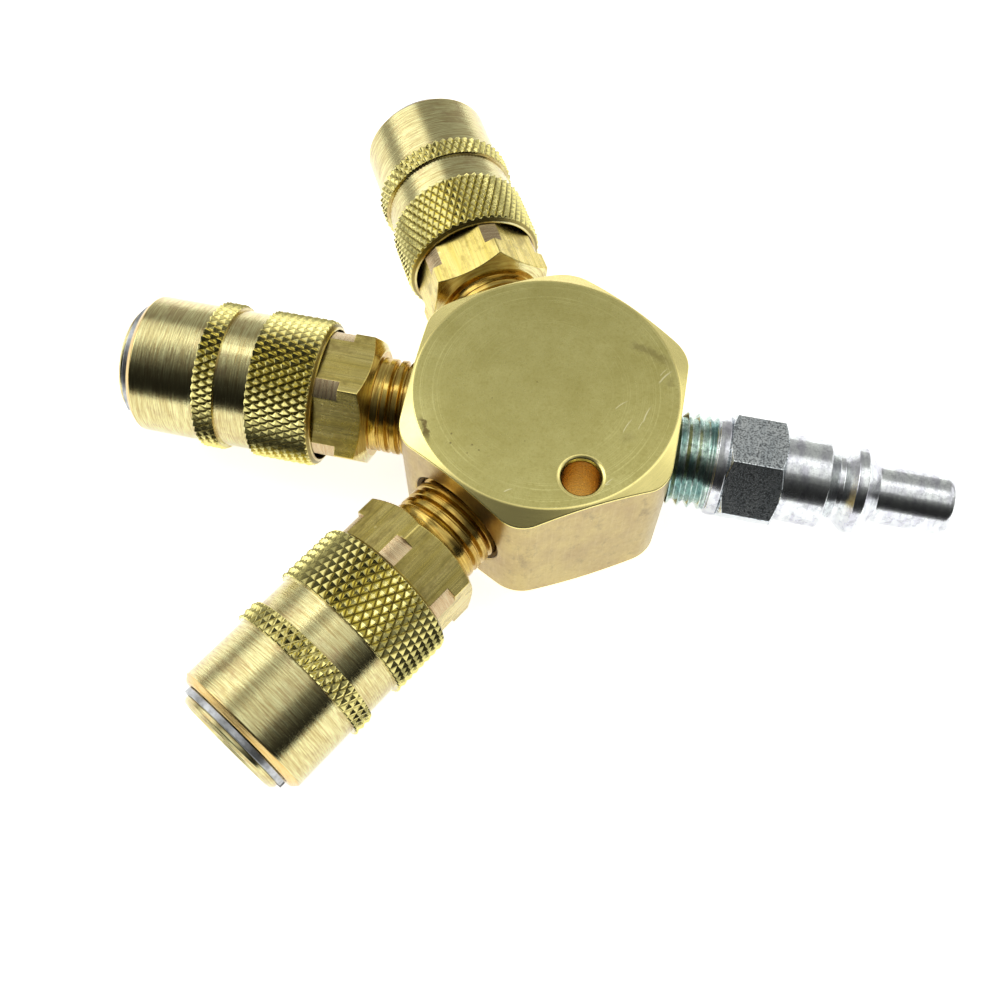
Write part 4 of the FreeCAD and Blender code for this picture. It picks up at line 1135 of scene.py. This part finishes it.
class ManifoldSizes(bpy.types.PropertyGroup):
    """Sizes that the visible surfaces share with the frame"""
    block_flats: length("Block across flats", "Width of the hexagon bar", 34.925)
    block_height: length("Block height", "Distance between the two end faces", 22.4)
    block_face_radius: length("Face radius", "Radius of the flat circle on each end", 17.1)
    block_edge_radius: length("Edge radius", "Rounding of the upright edges", 4.65)
    hang_hole_radius: length("Hanging hole radius", "Radius of the through hole", 2.38)
    hang_hole_distance: length("Hanging hole distance", "From the block's middle to the hole's", 13.2)
    port_countersink: length("Port countersink", "Depth of the 45-degree countersink", 0.65)
    thread_radius: length("Thread radius", "Crest radius of the taper thread at the block's face", 6.67)
    thread_pitch: length("Thread pitch", "One eighteenth of an inch", 1.4111)
    thread_depth: length("Thread depth", "From crest to root", 0.8)
    knurl_radius: length("Knurl radius", "Radius over the points of the knurl", 10.24)
    knurl_depth: length("Knurl depth", "From the points to the groove crossings", 0.52)
    knurl_pitch: length("Knurl pitch", "Distance along the sleeve between like points", 2.12)
    knurl_starts: bpy.props.IntProperty(
        name="Knurl starts", description="Grooves of each hand round the sleeve", default=54, min=12)
    band_radius: length("Band radius", "Radius of the smooth bands", 9.48)


class ManifoldColours(bpy.types.PropertyGroup):
    """Colours of the finishes"""
    brass_olive: colour("Olive brass", "Dull skin of faced and drawn brass", "#CAC076")
    brass_faced: colour("Faced brass", "Cleaner skin of faced brass", "#DAD188")
    brass_bright: colour("Bright brass", "Freshly cut or burnished brass", "#EEE18E")
    brass_side: colour("Side brass", "Drawn sides of the block", "#B29A6A")
    brass_bore: colour("Bored brass", "Inside of drilled holes", "#D9B870")
    paper: colour("Table", "Translucent table that the manifold stands on", "#F4F4F2")


class MANIFOLD_OT_block(bpy.types.Operator):
    """Make the hexagon block"""
    bl_idname = "manifold.block"
    bl_label = "Hexagon block"

    def execute(self, context):
        make_block()
        return {"FINISHED"}


class MANIFOLD_OT_inlet(bpy.types.Operator):
    """Make the zinc-plated inlet plug"""
    bl_idname = "manifold.inlet"
    bl_label = "Inlet plug"

    def execute(self, context):
        make_inlet_plug()
        return {"FINISHED"}


class MANIFOLD_OT_adapters(bpy.types.Operator):
    """Make the three adapters and the sealant in the four ports"""
    bl_idname = "manifold.adapters"
    bl_label = "Adapters and sealant"

    def execute(self, context):
        make_sealant("inlet", 0.0)
        for name, port in PORTS.items():
            make_adapter(name)
            make_sealant(name, port)
        return {"FINISHED"}


class MANIFOLD_OT_sleeves(bpy.types.Operator):
    """Make the three knurled sleeves"""
    bl_idname = "manifold.sleeves"
    bl_label = "Knurled sleeves"

    def execute(self, context):
        for name in PORTS:
            make_sleeve(name)
        return {"FINISHED"}


class MANIFOLD_OT_sockets(bpy.types.Operator):
    """Make the socket bodies, their balls and their retaining rings"""
    bl_idname = "manifold.sockets"
    bl_label = "Sockets, balls and rings"

    def execute(self, context):
        for name in PORTS:
            make_socket(name)
            make_retaining_ring(name)
            for number in range(1, len(BALL_ANGLES) + 1):
                make_ball(name, number)
        return {"FINISHED"}


class MANIFOLD_OT_springs(bpy.types.Operator):
    """Make the sleeve springs and the valve springs"""
    bl_idname = "manifold.springs"
    bl_label = "Springs"

    def execute(self, context):
        for name in PORTS:
            for spring in SPRINGS:
                make_spring(name, *spring)
        return {"FINISHED"}


class MANIFOLD_OT_valves(bpy.types.Operator):
    """Make the poppets and the rubber seals"""
    bl_idname = "manifold.valves"
    bl_label = "Valves and seals"

    def execute(self, context):
        for name in PORTS:
            for node, own_name, key, slot, bend, moves in VALVE_PIECES:
                node = "%s_%s" % (name, node)
                piece = merged_copy(node, "%s_%s" % (name, own_name), key, bend)
                settle(piece, name + "_valve" if moves else "manifold", slot, node)
        return {"FINISHED"}


class MANIFOLD_OT_stage(bpy.types.Operator):
    """Make the pale floor, the studio light and the camera"""
    bl_idname = "manifold.stage"
    bl_label = "Stage"

    def execute(self, context):
        make_floor()
        make_lights()
        make_camera()
        return {"FINISHED"}


OPERATORS = (
    MANIFOLD_OT_block, MANIFOLD_OT_inlet, MANIFOLD_OT_adapters, MANIFOLD_OT_sleeves, MANIFOLD_OT_sockets,
    MANIFOLD_OT_springs, MANIFOLD_OT_valves, MANIFOLD_OT_stage,
)


class MANIFOLD_PT_panel(bpy.types.Panel):
    """Lists the pieces of the manifold"""
    bl_idname = "MANIFOLD_PT_panel"
    bl_label = "Air manifold"
    bl_space_type = "VIEW_3D"
    bl_region_type = "UI"
    bl_category = "Manifold"

    def draw(self, context):
        for operator in OPERATORS:
            self.layout.operator(operator.bl_idname)
        for group in (context.scene.manifold_sizes, context.scene.manifold_colours):
            box = self.layout.box()
            for key in group.__annotations__:
                box.prop(group, key)


CLASSES = (ManifoldSizes, ManifoldColours) + OPERATORS + (MANIFOLD_PT_panel,)


def register():
    for cls in CLASSES:
        bpy.utils.register_class(cls)
    bpy.types.Scene.manifold_sizes = bpy.props.PointerProperty(type=ManifoldSizes)
    bpy.types.Scene.manifold_colours = bpy.props.PointerProperty(type=ManifoldColours)


def unregister():
    del bpy.types.Scene.manifold_colours
    del bpy.types.Scene.manifold_sizes
    for cls in reversed(CLASSES):
        bpy.utils.unregister_class(cls)


def main():
    register()
    for operator in OPERATORS:
        group, name = operator.bl_idname.split(".")
        getattr(getattr(bpy.ops, group), name)()


if __name__ == "__main__":
    main()
